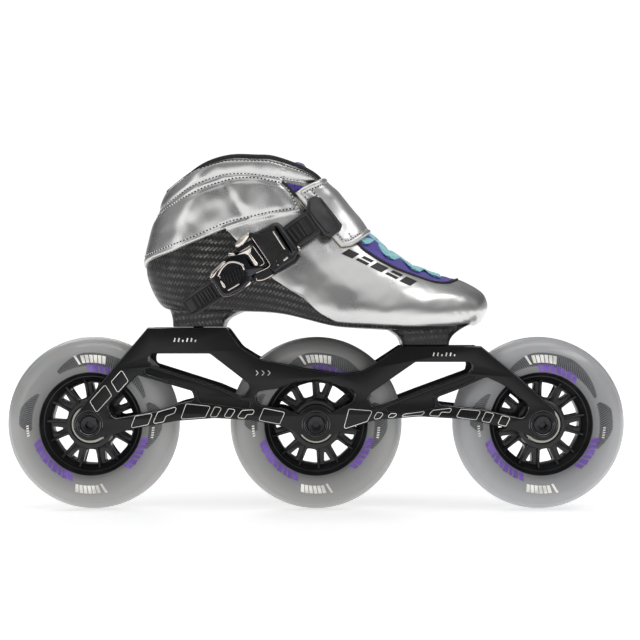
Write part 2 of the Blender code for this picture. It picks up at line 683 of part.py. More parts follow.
# -------------------------------------------------------------------- frame
def rounded(corners):
    """An outline from corners (x, z, radius), each rounded by a short arc."""
    out = []
    n = len(corners)
    for i in range(n):
        x, z, r = corners[i]
        p = Vector((x, z))
        if r <= 0:
            out.append((x, z))
            continue
        a = (Vector(corners[i - 1][:2]) - p)
        b = (Vector(corners[(i + 1) % n][:2]) - p)
        la, lb = a.length, b.length
        a.normalize()
        b.normalize()
        half = a.angle(b) / 2
        d = min(r / math.tan(half), 0.48 * min(la, lb))
        r2 = d * math.tan(half)
        c = p + (a + b).normalized() * (r2 / math.sin(half))
        s, e = p + a * d - c, p + b * d - c
        sweep = s.angle(e)
        cross = s.x * e.y - s.y * e.x
        k = max(1, int(round(math.degrees(sweep) / 45)))
        for j in range(k + 1):
            t = sweep * j / k * (1 if cross > 0 else -1)
            q = Matrix.Rotation(t, 2) @ s + c
            out.append((q.x, q.y))
    return out


def arc(cx, cz, r, a0, a1, steps):
    return [(cx + r * math.cos(math.radians(a0 + (a1 - a0) * i / steps)), cz + r * math.sin(math.radians(a0 + (a1 - a0) * i / steps)), 0) for i in range(steps + 1)]


AXLE_X = [WHEEL_MID_X - WHEEL_PITCH, WHEEL_MID_X, WHEEL_MID_X + WHEEL_PITCH]
FRAME_TOP = [
    (-30.4, -14.5, 0.8), (14.2, -14.5, 3), (22.4, -25.6, 8), (33.5, -32.4, 12), (58.2, -37.5, 0), (80, -41, 12),
    (93, -39.2, 14), (114.6, -25, 1), (160, -25, 1.5), (181, -42.2, 0), (202, -61.4, 0),
]
FRAME_LOW = [
    (188.8, -76.8, 0), (172.9, -71.4, 0), (151.1, -66.9, 0), (125, -65.4, 0), (100, -67.4, 0), (86, -71.6, 0), (75.6, -75.8, 0),
]
FRAME_LOW_2 = [
    (55.8, -75.8, 0), (46, -70.7, 0), (28, -67.4, 0), (8, -66.3, 0), (-14, -67.9, 0), (-38, -72.3, 0), (-57.4, -77.4, 0),
]
WINDOWS = {
    "rear_big": [(-29.5, -29.4, 2.5), (5.0, -29.4, 3), (28.6, -47.6, 3), (24.0, -54.0, 3), (9.6, -47.8, 0), (-29.5, -35.4, 2.5)],
    "rear_low": [(-36.5, -41.6, 2.5), (-53.6, -59.2, 4.5), (-49.6, -66.3, 3.5), (-23.3, -61.7, 0), (-12.8, -57.8, 0), (-3.6, -55.6, 2), (-5.2, -50.8, 2)],
    "front_big": [(122.6, -34.2, 2.5), (155.4, -34.2, 2.5), (154.4, -39.6, 2), (125.1, -50.3, 0), (98.8, -60.4, 3), (94.4, -53.8, 3)],
    "front_low": [(134.6, -54.6, 2.5), (146.3, -50.2, 0), (163.0, -42.8, 4), (173.0, -47.2, 0), (187.8, -59.2, 4.5), (184.0, -66.4, 3.5), (160.7, -61.1, 0), (136.5, -58.2, 2)],
}
MID_WINDOW = (
    [(31.0, -51.2, 3), (44, -49.4, 0), (54.6, -45.6, 0), (65.7, -44.2, 0), (76.6, -46.8, 0), (88.4, -51.0, 3.5), (86.6, -56.6, 2)]
    + arc(65.7, -70.0, 11.4, 38, 148, 5)
    + [(47, -60.5, 0), (32.4, -58.8, 3)]
)
STRUTS = [
    [(-33.5, -38.6), (-29.6, -37.4), (9.0, -49.6), (24.6, -56.2), (31.4, -56.4), (29.8, -61.4), (-1.0, -57.0), (-2.2, -50.6), (-33.8, -41.0)],
    [(99.6, -62.4), (125.6, -52.6), (154.8, -41.8), (160.2, -42.8), (146.0, -48.6), (132.8, -53.2), (134.4, -60.4), (118.0, -62.6)],
]


def plate(name, outline, y0, y1, where=PARTS):
    """A flat plate in the XZ plane: a filled 2D curve, extruded, then a mesh."""
    cu = bpy.data.curves.new(name, "CURVE")
    cu.dimensions = "2D"
    cu.fill_mode = "BOTH"
    cu.extrude = abs(y1 - y0) / 2 * MM
    for ring in outline:
        s = cu.splines.new("POLY")
        s.points.add(len(ring) - 1)
        for p, (x, z) in zip(s.points, ring):
            p.co = (x * MM, z * MM, 0, 1)
        s.use_cyclic_u = True
    tmp = bpy.data.objects.new(name + "_curve", cu)
    bpy.context.scene.collection.objects.link(tmp)
    tmp.rotation_euler = (math.radians(90), 0, 0)
    tmp.location = (0, (y0 + y1) / 2 * MM, 0)
    bpy.context.view_layer.update()
    deps = bpy.context.evaluated_depsgraph_get()
    me = bpy.data.meshes.new_from_object(tmp.evaluated_get(deps))
    me.transform(tmp.matrix_world)
    bpy.data.objects.remove(tmp, do_unlink=True)
    bpy.data.curves.remove(cu)
    bm = bmesh.new()
    bm.from_mesh(me)
    bmesh.ops.remove_doubles(bm, verts=bm.verts, dist=0.002)
    bmesh.ops.recalc_face_normals(bm, faces=bm.faces)
    bm.to_mesh(me)
    bm.free()
    o = bpy.data.objects.new(name, me)
    where.objects.link(o)
    if where is CUTTERS:
        o.hide_render = True
        o.display_type = "WIRE"
    return o


def lying(name, x, y0, y1, r, steps=16, where=CUTTERS, z=AXLE_Z):
    """A cylinder along Y."""
    bm = bmesh.new()
    bmesh.ops.create_cone(bm, cap_ends=True, segments=steps, radius1=r * MM, radius2=r * MM, depth=abs(y1 - y0) * MM)
    bmesh.ops.rotate(bm, verts=bm.verts, matrix=Matrix.Rotation(math.radians(90), 3, "X"))
    me = bpy.data.meshes.new(name)
    bm.to_mesh(me)
    bm.free()
    o = bpy.data.objects.new(name, me)
    where.objects.link(o)
    o.location = (x * MM, (y0 + y1) / 2 * MM, z * MM)
    if where is CUTTERS:
        o.hide_render = True
        o.display_type = "WIRE"
    bpy.context.view_layer.update()
    return o


def box(name, x0, x1, y0, y1, z0, z1, where=CUTTERS):
    bm = bmesh.new()
    bmesh.ops.create_cube(bm, size=1.0)
    bmesh.ops.scale(bm, verts=bm.verts, vec=((x1 - x0) * MM, (y1 - y0) * MM, (z1 - z0) * MM))
    bmesh.ops.translate(bm, verts=bm.verts, vec=((x0 + x1) / 2 * MM, (y0 + y1) / 2 * MM, (z0 + z1) / 2 * MM))
    me = bpy.data.meshes.new(name)
    bm.to_mesh(me)
    bm.free()
    o = bpy.data.objects.new(name, me)
    where.objects.link(o)
    if where is CUTTERS:
        o.hide_render = True
        o.display_type = "WIRE"
    return o


def circle(cx, cz, r, n):
    turn = 0.2 + 0.0013 * cx  # no two circles have level edges
    return [(cx + r * math.cos(2 * math.pi * (i + turn) / n), cz + r * math.sin(2 * math.pi * (i + turn) / n)) for i in range(n)]


def rail_outline():
    front = arc(AXLE_X[2], AXLE_Z, 9.2, 36, -104, 4)
    mid = arc(AXLE_X[1], AXLE_Z, 9.6, -36, -144, 3)
    rear = arc(AXLE_X[0], AXLE_Z, 9.2, -70, -216, 4)
    return rounded(FRAME_TOP + front + FRAME_LOW + mid + FRAME_LOW_2 + rear + [(-66.4, -57.4, 0), (-50.6, -38.2, 0)])


def build_frame():
    holes = [circle(x, AXLE_Z, AXLE_R + GAP, 12) for x in AXLE_X]
    rings = [rail_outline()] + [rounded(w) for w in WINDOWS.values()] + [rounded(MID_WINDOW)] + holes
    frame = plate("skate_frame", rings, -RAIL_OUT, -RAIL_IN)
    other = plate("rail_2", rings, RAIL_IN, RAIL_OUT, where=CUTTERS)
    decks = [
        box("rear_deck", -29.0, 14.0, -RAIL_IN - 1, RAIL_IN + 1, REAR_DECK_Z - DECK_T, REAR_DECK_Z - 0.02),
        box("front_deck", 116.5, 158.5, -RAIL_IN - 1, RAIL_IN + 1, FRONT_DECK_Z - DECK_T, FRONT_DECK_Z - 0.02),
    ]
    for d in decks:
        boolean(frame, d, "UNION")
    boolean(frame, other, "UNION")
    for x in AXLE_X:
        for s in (-1, 1):
            a, b = sorted((s * BOSS_IN, s * (RAIL_IN + 0.6)))
            boss = [circle(x, AXLE_Z, 7.4, 12), circle(x, AXLE_Z, AXLE_R + GAP + 0.3, 12)]
            boolean(frame, plate("boss", boss, a, b, where=CUTTERS), "UNION")
        boolean(frame, lying("head_recess", x, -20, -RAIL_OUT + 2.0, 5.5, 12), "DIFFERENCE")
    for s in (-1, 1):
        for i, ring in enumerate(STRUTS):
            a, b = sorted((s * (RAIL_OUT - 1.1), s * (RAIL_OUT + 2)))
            boolean(frame, plate(f"strut_{i}", [ring], a, b, where=CUTTERS), "DIFFERENCE")
    for x, deck in ((REAR_BOLT_X, REAR_DECK_Z), (FRONT_BOLT_X, FRONT_DECK_Z)):
        boolean(frame, rod("bolt_hole", x, deck - 9, deck + 3, 3.4), "DIFFERENCE")
    tidy(frame)
    return finish(frame, material("anodised_black", (0.008, 0.008, 0.009), 0.35, 0.6), angle=20)


def build_bolts():
    out = []
    for name, x, deck in (("frame_bolt_rear", REAR_BOLT_X, REAR_DECK_Z), ("frame_bolt_front", FRONT_BOLT_X, FRONT_DECK_Z)):
        low = deck - DECK_T - GAP
        b = rod(name, x, low - 4.0, low, 5.6, 12, where=PARTS)
        boolean(b, rod("shank", x, low - 2.0, deck + 5.4, 3.0, 12), "UNION")
        boolean(b, rod("socket", x, low - 6.0, low - 2.2, 2.5, 6), "DIFFERENCE")
        out.append(finish(b, material(name + "_steel", (0.1, 0.1, 0.1), 0.3, 0.9)))
    return out


# ------------------------------------------------------------------- wheels
def turned(name, profile, steps, mat, x, closed=True):
    """A closed profile (radius, y) swept round the Y axis with a Screw modifier."""
    me = bpy.data.meshes.new(name)
    n = len(profile)
    me.from_pydata([(r * MM, 0, y * MM) for r, y in profile], [(i, (i + 1) % n) for i in range(n)], [])
    o = bpy.data.objects.new(name, me)
    PARTS.objects.link(o)
    m = o.modifiers.new("turn", "SCREW")
    m.steps = m.render_steps = steps
    m.use_merge_vertices = True
    m.merge_threshold = 0.0001
    m.use_smooth_shade = True
    o.rotation_euler = (math.radians(90), 0, 0)
    o.location = (x * MM, 0, AXLE_Z * MM)
    bpy.context.view_layer.update()
    deps = bpy.context.evaluated_depsgraph_get()
    new = bpy.data.meshes.new_from_object(o.evaluated_get(deps))
    o.modifiers.clear()
    o.data = new
    bpy.data.meshes.remove(me)
    bm = bmesh.new()
    bm.from_mesh(new)
    bmesh.ops.recalc_face_normals(bm, faces=bm.faces)
    bm.to_mesh(new)
    bm.free()
    return finish(o, mat)


TYRE = [(TYRE_BORE_R, 11.2), (36, 12.0), (42.5, 11.2), (47.6, 7.0), (50, 0.0)]
HUB_WEB = 4.2  # half thickness of the spokes at the barrel
SPOKES = 7
PHASE = [9.9, 3.7, 24.0]  # where each wheel stands, in degrees


def window_prism(name, x, a, r0, r1, w0, w1):
    """A window through the hub at angle a, from r0 (width w0) out to r1 (width w1)."""
    ca, sa = math.cos(math.radians(a)), math.sin(math.radians(a))
    ring = []
    for r, w in ((r0, -w0), (r0, w0), (r1, w1), (r1, -w1)):
        ring.append((x + r * ca - w * sa, AXLE_Z + r * sa + w * ca))
    return plate(name, [ring], -14, 14, where=CUTTERS)


def build_wheels():
    half = []
    for y in (1, -1):
        pts = [(BEARING_R + GAP, 11.8), (14.2, 11.8), (15.2, HUB_WEB), (24.4, HUB_WEB + 0.8), (29.4, 11.0), (HUB_R, 11.0)]
        half.append([(r, v * y) for r, v in pts])
    profile = half[0] + half[1][::-1]
    tyre = [(r, y) for r, y in TYRE] + [(r, -y) for r, y in TYRE[::-1] if y > 0]
    for tag, x, ph in zip(("rear", "mid", "front"), AXLE_X, PHASE):
        turned(f"tyre_{tag}", tyre, 32, material(f"urethane_{tag}", (0.45, 0.45, 0.44), 0.25), x)
        hub = turned(f"hub_{tag}", profile, 21, material(f"hub_plastic_{tag}", (0.012, 0.012, 0.014), 0.4), x)
        hub.data.transform(hub.matrix_world)
        hub.matrix_world = Matrix.Identity(4)
        bpy.context.view_layer.update()
        for k in range(SPOKES):
            a = ph + k * 360.0 / SPOKES
            boolean(hub, window_prism("big", x, a, 15.6, 23.6, 2.6, 4.9), "DIFFERENCE")
            boolean(hub, window_prism("small", x, a + 180.0 / SPOKES, 17.4, 23.6, 0.5, 1.7), "DIFFERENCE")
        tidy(hub)
        hub.data.transform(Matrix.Translation((-x * MM, 0, -AXLE_Z * MM)))
        hub.location = (x * MM, 0, AXLE_Z * MM)
        finish(hub, hub.data.materials[0] if hub.data.materials else material("hub", BLACK, 0.4))
        for side, s in (("lat", -1), ("med", 1)):
            ring = [(AXLE_R + GAP, s * 5.0), (BEARING_R, s * 5.0), (BEARING_R, s * 11.9), (AXLE_R + GAP, s * 11.9)]
            turned(f"bearing_{tag}_{side}", ring, 12, material(f"bearing_{tag}_{side}", STEEL, 0.3, 0.9), x)


def build_axles():
    for tag, x in zip(("rear", "mid", "front"), AXLE_X):
        a = lying(f"axle_{tag}", x, -RAIL_OUT + 0.4, -RAIL_OUT + 1.7, 5.1, 14, where=PARTS)
        a.data.transform(a.matrix_world)
        a.matrix_world = Matrix.Identity(4)
        bpy.context.view_layer.update()
        boolean(a, lying("shank", x, -RAIL_OUT + 1.0, RAIL_OUT - 0.3, AXLE_R, 14), "UNION")
        boolean(a, lying("socket", x, -RAIL_OUT - 2, -RAIL_OUT + 3.6, 2.4, 6), "DIFFERENCE")
        finish(a, material(f"axle_steel_{tag}", (0.03, 0.03, 0.032), 0.3, 0.8))


build_upper()
build_shell()
build_insole()
build_tongue()
build_laces()
build_strap()
build_cap()
build_ladder()
build_buckle()
build_frame()
build_bolts()
build_wheels()
build_axles()

# the finished solids, in metres
for o in PARTS.objects:
    o.data.transform(Matrix.Scale(0.001, 4))
    o.location = o.location * 0.001
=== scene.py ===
"""Looks of the inline speed skate, right foot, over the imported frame.

Row frame: +X to the toe, +Z up, -Y to the outer side. Shapes are worked out
in millimetres and turned to metres when a mesh is made.
"""

import math

import bmesh
import bpy
import numpy as np
from mathutils import Matrix, Vector


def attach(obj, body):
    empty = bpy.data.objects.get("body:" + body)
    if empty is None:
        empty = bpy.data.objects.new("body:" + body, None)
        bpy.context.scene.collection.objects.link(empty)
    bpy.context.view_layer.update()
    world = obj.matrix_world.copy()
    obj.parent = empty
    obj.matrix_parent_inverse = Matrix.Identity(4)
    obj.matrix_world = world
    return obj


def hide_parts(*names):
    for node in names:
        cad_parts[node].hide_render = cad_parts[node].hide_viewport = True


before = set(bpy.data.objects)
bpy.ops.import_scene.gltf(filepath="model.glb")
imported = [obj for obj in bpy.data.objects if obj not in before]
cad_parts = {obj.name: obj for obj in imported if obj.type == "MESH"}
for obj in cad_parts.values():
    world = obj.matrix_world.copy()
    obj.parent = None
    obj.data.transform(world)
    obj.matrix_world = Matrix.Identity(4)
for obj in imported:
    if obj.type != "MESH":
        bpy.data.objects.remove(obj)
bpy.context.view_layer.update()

SCENE = bpy.context.scene

AXLE_Z = -70.0
AXLE_X = [-63.8, 65.7, 195.2]
PHASE = [9.9, 3.7, 24.0]
LEATHER_T = 3.0


# ------------------------------------------------------------------- meshes
def make(name, verts, faces, mats, body="boot", slot=None, index=None, uv=None, angle=40.0, outward=True):
    """A piece from points in millimetres, riding on a body."""
    me = bpy.data.meshes.new(name)
    faces = faces.tolist() if isinstance(faces, np.ndarray) else [tuple(int(i) for i in f) for f in faces]
    me.from_pydata((np.asarray(verts, float) * 0.001).tolist(), [], faces)
    for m in mats if isinstance(mats, (list, tuple)) else [mats]:
        me.materials.append(m)
    if index is not None:
        me.polygons.foreach_set("material_index", np.asarray(index, np.int32))
    if uv is not None:
        layer = me.uv_layers.new(name="UVMap")
        layer.data.foreach_set("uv", np.asarray(uv, np.float32).ravel())
    me.update()
    if outward:
        bm = bmesh.new()
        bm.from_mesh(me)
        bmesh.ops.recalc_face_normals(bm, faces=bm.faces)
        bm.to_mesh(me)
        bm.free()
    me.shade_smooth()
    me.set_sharp_from_angle(angle=math.radians(angle))
    o = bpy.data.objects.new(name, me)
    SCENE.collection.objects.link(o)
    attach(o, body)
    return o


def quads(nr, nc, wrap=False):
    """Faces of a grid of nr rows and nc columns."""
    i, j = np.meshgrid(np.arange(nr - 1), np.arange(nc if wrap else nc - 1), indexing="ij")
    k = (j + 1) % nc
    return np.stack([i * nc + j, i * nc + k, (i + 1) * nc + k, (i + 1) * nc + j], -1).reshape(-1, 4)


def merged(bits):
    """Several (points, faces) as one."""
    verts, faces, at = [], [], 0
    for v, f in bits:
        verts.append(np.asarray(v, float))
        faces += [tuple(int(i) + at for i in q) for q in f]
        at += len(v)
    return np.concatenate(verts), faces


def unit(v):
    v = np.asarray(v, float)
    return v / np.maximum(np.linalg.norm(v, axis=-1, keepdims=True), 1e-9)


def sweep(c, up, w, t, n=10, square=2.4, closed=False):
    """A tube along points: w wide across, t thick along up, with a superelliptic section."""
    c = np.asarray(c, float)
    m = len(c)
    tan = np.roll(c, -1, 0) - np.roll(c, 1, 0) if closed else np.gradient(c, axis=0)
    tan = unit(tan)
    up = np.broadcast_to(np.asarray(up, float), c.shape)
    s = unit(np.cross(up, tan))
    nn = np.cross(tan, s)
    a = 2 * np.pi * (np.arange(n) + 0.5) / n
    e = 2.0 / square
    px = np.sign(np.cos(a)) * np.abs(np.cos(a)) ** e / 2
    py = np.sign(np.sin(a)) * np.abs(np.sin(a)) ** e / 2
    w = np.broadcast_to(np.asarray(w, float), (m,))[:, None, None]
    t = np.broadcast_to(np.asarray(t, float), (m,))[:, None, None]
    v = c[:, None] + s[:, None] * px[None, :, None] * w + nn[:, None] * py[None, :, None] * t
    verts = v.reshape(-1, 3)
    faces = []
    for i in range(m if closed else m - 1):
        k = (i + 1) % m
        faces += [(i * n + j, i * n + (j + 1) % n, k * n + (j + 1) % n, k * n + j) for j in range(n)]
    if not closed:
        faces += [tuple(range(n))[::-1], tuple(range((m - 1) * n, m * n))]
    return verts, faces


# ---------------------------------------------------------------- materials
class Mat:
    """A procedural material round one Principled BSDF."""

    def __init__(self, name, base, rough, metal=0.0, **sockets):
        self.m = bpy.data.materials.new(name)
        self.m.use_nodes = True
        self.t = self.m.node_tree
        self.p = self.t.nodes["Principled BSDF"]
        self.p.inputs["Base Color"].default_value = (*base, 1.0)
        self.p.inputs["Roughness"].default_value = rough
        self.p.inputs["Metallic"].default_value = metal
        for k, v in sockets.items():
            self.p.inputs[k.replace("_", " ")].default_value = v
        self.m.diffuse_color = (*base, 1.0)
        self.tc = self.t.nodes.new("ShaderNodeTexCoord")

    def node(self, kind, ins=None, **props):
        n = self.t.nodes.new(kind)
        for k, v in props.items():
            setattr(n, k, v)
        for k, v in (ins or {}).items():
            if hasattr(v, "is_output"):
                self.t.links.new(v, n.inputs[k])
            else:
                n.inputs[k].default_value = v
        return n

    def to(self, out, socket):
        self.t.links.new(out, self.p.inputs[socket])

    def coord(self, which="Object", scale=(1, 1, 1), turn=(0, 0, 0)):
        n = self.node("ShaderNodeMapping", {"Vector": self.tc.outputs[which]})
        n.inputs["Scale"].default_value = scale
        n.inputs["Rotation"].default_value = turn
        return n.outputs["Vector"]

    def noise(self, scale, detail=3.0, rough=0.55, vec=None, distort=0.0):
        n = self.node("ShaderNodeTexNoise", {"Vector": vec or self.tc.outputs["Object"], "Scale": scale, "Detail": detail, "Roughness": rough, "Distortion": distort})
        return n.outputs["Fac"]

    def voronoi(self, scale, feature="F1", vec=None, rand=1.0):
        n = self.node("ShaderNodeTexVoronoi", {"Vector": vec or self.tc.outputs["Object"], "Scale": scale, "Randomness": rand}, feature=feature)
        return n.outputs["Distance"]

    def calc(self, op, a, b=0.0, c=None, clamp=False):
        ins = {0: a, 1: b}
        if c is not None:
            ins[2] = c
        return self.node("ShaderNodeMath", ins, operation=op, use_clamp=clamp).outputs[0]

    def ramp(self, fac, stops, mode="LINEAR"):
        n = self.node("ShaderNodeValToRGB", {"Fac": fac})
        r = n.color_ramp
        r.interpolation = mode
        while len(r.elements) < len(stops):
            r.elements.new(0.5)
        for e, (pos, col) in zip(r.elements, stops):
            e.position = pos
            col = col if isinstance(col, tuple) else (col, col, col)
            e.color = (*col, 1.0)
        return n.outputs["Color"]

    def mix(self, fac, a, b):
        n = self.node("ShaderNodeMix", data_type="RGBA")
        for k, v in ((0, fac), (6, a), (7, b)):
            if hasattr(v, "is_output"):
                self.t.links.new(v, n.inputs[k])
            else:
                n.inputs[k].default_value = (*v, 1.0) if isinstance(v, tuple) and len(v) == 3 else v
        return n.outputs[2]

    def bump(self, height, mm, strength=1.0, under=None):
        ins = {"Height": height, "Distance": mm * 0.001, "Strength": strength}
        n = self.node("ShaderNodeBump", ins)
        if under is not None:
            self.t.links.new(under, n.inputs["Normal"])
        self.t.links.new(n.outputs["Normal"], self.p.inputs["Normal"])
        return n.outputs["Normal"]


def silver(name, grain=1.0, base=(0.69, 0.69, 0.685), rough=0.28):
    """Foil-faced leather: a soft metal sheen, fine grain, faint scuffs."""
    m = Mat(name, base, rough, 0.93)
    cloud = m.noise(38.0, 3.0, 0.5)
    fine = m.noise(900.0, 2.0, 0.6)
    cells = m.voronoi(1250.0, "F1")
    scuff = m.noise(160.0, 5.0, 0.65, vec=m.coord(scale=(1, 1, 3.2), turn=(0, 0.5, 0)))
    m.to(m.mix(m.ramp(scuff, [(0.64, 0.0), (0.80, 1.0)]), m.ramp(cloud, [(0.3, (base[0] * 0.90,) * 3), (0.7, (base[0] * 1.04, base[0] * 1.04, base[0] * 1.02))]), (base[0] * 0.92,) * 3), "Base Color")
    r = m.calc("MULTIPLY_ADD", cloud, 0.14, rough - 0.07)
    r = m.calc("MULTIPLY_ADD", m.ramp(scuff, [(0.55, 0.0), (0.85, 1.0)]), 0.04, r)
    m.to(r, "Roughness")
    h = m.calc("ADD", m.calc("MULTIPLY", fine, 0.6), m.calc("MULTIPLY", cells, 0.8))
    m.bump(h, 0.018 * grain, 0.55)
    return m.m


def carbon(name, width=1.45, glint=1.0):
    """Twill of carbon tows under clear resin, from UVs in millimetres, with painted glints on the tows and painted
    light that brightens them toward the top of the cup.
    """
    m = Mat(name, (0.01, 0.01, 0.011), 0.40, 0.0, Coat_Weight=0.22, Coat_Roughness=0.10, Specular_IOR_Level=0.35)
    uv = m.node("ShaderNodeSeparateXYZ", {"Vector": m.coord("UV", turn=(0, 0, math.radians(40)))})
    a = m.calc("DIVIDE", uv.outputs["X"], width)
    b = m.calc("DIVIDE", uv.outputs["Y"], width)
    i, j = m.calc("FLOOR", a), m.calc("FLOOR", b)
    t = m.calc("FLOORED_MODULO", m.calc("SUBTRACT", i, j), 4.0)
    warp = m.calc("LESS_THAN", t, 1.5)
    fa = m.calc("SUBTRACT", m.calc("FRACT", a), 0.5)
    fb = m.calc("SUBTRACT", m.calc("FRACT", b), 0.5)
    ha = m.calc("SUBTRACT", 1.0, m.calc("MULTIPLY", m.calc("MULTIPLY", fa, fa), 4.0))
    hb = m.calc("SUBTRACT", 1.0, m.calc("MULTIPLY", m.calc("MULTIPLY", fb, fb), 4.0))
    h = m.node("ShaderNodeMix", {0: warp, 2: hb, 3: ha}, data_type="FLOAT").outputs[0]
    strands = m.noise(1.0, 2.0, 0.5, vec=m.coord("UV", scale=(0.5, 5.0, 1), turn=(0, 0, math.radians(40))))
    # painted glints: patches where the bright tows catch the light, set by noise
    patch = m.ramp(m.noise(26.0, 2.0, 0.5), [(0.42, 0.16), (0.62, 1.0)])
    # the bright warp colour is a painted glint; the dark weft is the resin's own near-black
    lit = m.mix(warp, (0.46 * glint, 0.44 * glint, 0.42 * glint), (0.006, 0.006, 0.007))
    cell = m.node("ShaderNodeCombineXYZ", {0: i, 1: j}).outputs[0]
    # random strength of the painted glint cell by cell; h rounds each glint toward the tow's centre
    cell_glint = m.node("ShaderNodeTexWhiteNoise", {"Vector": cell}, noise_dimensions="2D").outputs["Value"]
    lit = m.mix(m.calc("MULTIPLY", strands, 0.6), lit, (0.008, 0.008, 0.008))
    lit = m.mix(m.calc("MULTIPLY", m.calc("MULTIPLY_ADD", cell_glint, 0.85, 0.15), h), (0.005, 0.005, 0.006), lit)
    # painted light: the glints fade toward the bottom of the cup and are full from about 22 mm up
    height = m.node("ShaderNodeSeparateXYZ", {"Vector": m.coord()}).outputs["Z"]
    patch = m.calc("MULTIPLY", patch, m.ramp(height, [(0.0, 0.30), (0.022, 1.0)]))
    m.to(m.mix(patch, (0.006, 0.006, 0.007), lit), "Base Color")
    m.to(m.node("ShaderNodeMix", {0: warp, 2: 0.30, 3: 0.42}, data_type="FLOAT").outputs[0], "Roughness")
    m.bump(h, 0.22, 0.9)
    return m.m


def plastic(name, base=(0.013, 0.013, 0.014), rough=0.36, grain=700.0, depth=0.02):
    """Moulded plastic: a fine texture and rubbed, uneven gloss."""
    m = Mat(name, base, rough)
    n = m.noise(grain, 3.0, 0.6)
    wear = m.noise(90.0, 4.0, 0.6)
    m.to(m.mix(m.ramp(wear, [(0.45, 0.0), (0.75, 1.0)]), base, tuple(c * 1.9 + 0.004 for c in base)), "Base Color")
    m.to(m.calc("MULTIPLY_ADD", wear, 0.22, rough - 0.10), "Roughness")
    m.bump(n, depth, 0.6)
    return m.m


def metal(name, base, rough, brushed=(1, 1, 1), scratch=0.5, metallic=1.0):
    """Worked metal: brushing, faint scratches, uneven gloss."""
    m = Mat(name, base, rough, metallic)
    n = m.noise(260.0, 4.0, 0.6, vec=m.coord(scale=brushed))
    big = m.noise(55.0, 2.0, 0.5)
    m.to(m.mix(big, tuple(c * 0.82 for c in base), tuple(min(1.0, c * 1.12) for c in base)), "Base Color")
    m.to(m.calc("ADD", m.calc("MULTIPLY", n, 0.14 * scratch + 0.06), rough - 0.06), "Roughness")
    m.bump(n, 0.012, scratch)
    return m.m


def cloth(name, base, scale, rough=0.8, holes=0.0, sheen=0.2, depth=0.25):
    """Knitted mesh or woven cloth."""
    m = Mat(name, base, rough, 0.0, Sheen_Weight=sheen, Sheen_Roughness=0.5)
    v = m.voronoi(scale, "F1", rand=0.25)
    n = m.noise(scale * 0.6, 3.0, 0.6)
    dark = tuple(c * (0.25 if holes else 0.7) for c in base)
    m.to(m.mix(m.ramp(v, [(0.22, 0.0), (0.5, 1.0)]), dark, m.mix(n, tuple(c * 0.85 for c in base), tuple(min(1, c * 1.25) for c in base))), "Base Color")
    m.bump(m.calc("ADD", v, m.calc("MULTIPLY", n, 0.3)), depth, 0.8)
    return m.m


def tyre_urethane(name, x, base):
    """Cast urethane: slightly clear, darker toward the hub, with mould marks and a scuffed tread."""
    m = Mat(name, base, 0.24, 0.0, Subsurface_Weight=0.25, Subsurface_Scale=0.004, Coat_Weight=0.35, Coat_Roughness=0.14)
    s = m.node("ShaderNodeSeparateXYZ", {"Vector": m.tc.outputs["Object"]})
    dx = m.calc("SUBTRACT", s.outputs["X"], x * 0.001)
    dz = m.calc("SUBTRACT", s.outputs["Z"], AXLE_Z * 0.001)
    r = m.calc("SQRT", m.calc("ADD", m.calc("MULTIPLY", dx, dx), m.calc("MULTIPLY", dz, dz)))
    r = m.calc("DIVIDE", r, 0.05)
    cloud = m.noise(30.0, 3.0, 0.5)
    near = m.ramp(r, [(0.62, tuple(c * 0.42 for c in base)), (0.71, tuple(c * 0.70 for c in base)), (0.84, base), (0.97, tuple(min(1, c * 1.10) for c in base))])
    m.to(m.mix(m.calc("MULTIPLY", cloud, 0.35), near, tuple(c * 0.78 for c in base)), "Base Color")
    m.to(m.calc("MULTIPLY_ADD", m.ramp(r, [(0.90, 0.0), (0.99, 1.0)]), 0.20, m.calc("MULTIPLY_ADD", cloud, 0.10, 0.16)), "Roughness")
    m.bump(m.noise(420.0, 3.0, 0.6), 0.03, 0.4)
    return m.m


SILVER = silver("silver_leather")
STRAP = silver("strap_foil_leather", 0.5, (0.74, 0.74, 0.735), 0.38)
EDGE_CREAM = plastic("cut_leather_edge", (0.52, 0.49, 0.40), 0.6, 500.0, 0.05)
THREAD = plastic("silver_thread", (0.72, 0.72, 0.70), 0.5, 1500.0, 0.05)
VIOLET_THREAD = plastic("violet_thread", (0.20, 0.15, 0.72), 0.6, 1500.0, 0.05)
EYELET_RING = plastic("purple_eyelet", (0.05, 0.035, 0.19), 0.35, 900.0, 0.02)
CARBON = carbon("carbon_twill")
PIPING = plastic("black_binding", (0.004, 0.004, 0.0045), 0.55, 1100.0, 0.06)
INK = plastic("black_ink", (0.003, 0.003, 0.0035), 0.42, 900.0, 0.01)
# near-black dots at the stitch gaps: painted shade in the needle holes
NEEDLE_HOLE_SHADE = plastic("needle_hole_painted_shade", (0.012, 0.012, 0.012), 0.8, 900.0, 0.02)
# a lighter copy of the cap's black plastic: painted highlight on its upper right facet
CAP_HIGHLIGHT_PLASTIC = plastic("cap_highlight_painted_plastic", (0.034, 0.034, 0.036), 0.30, 700.0, 0.02)
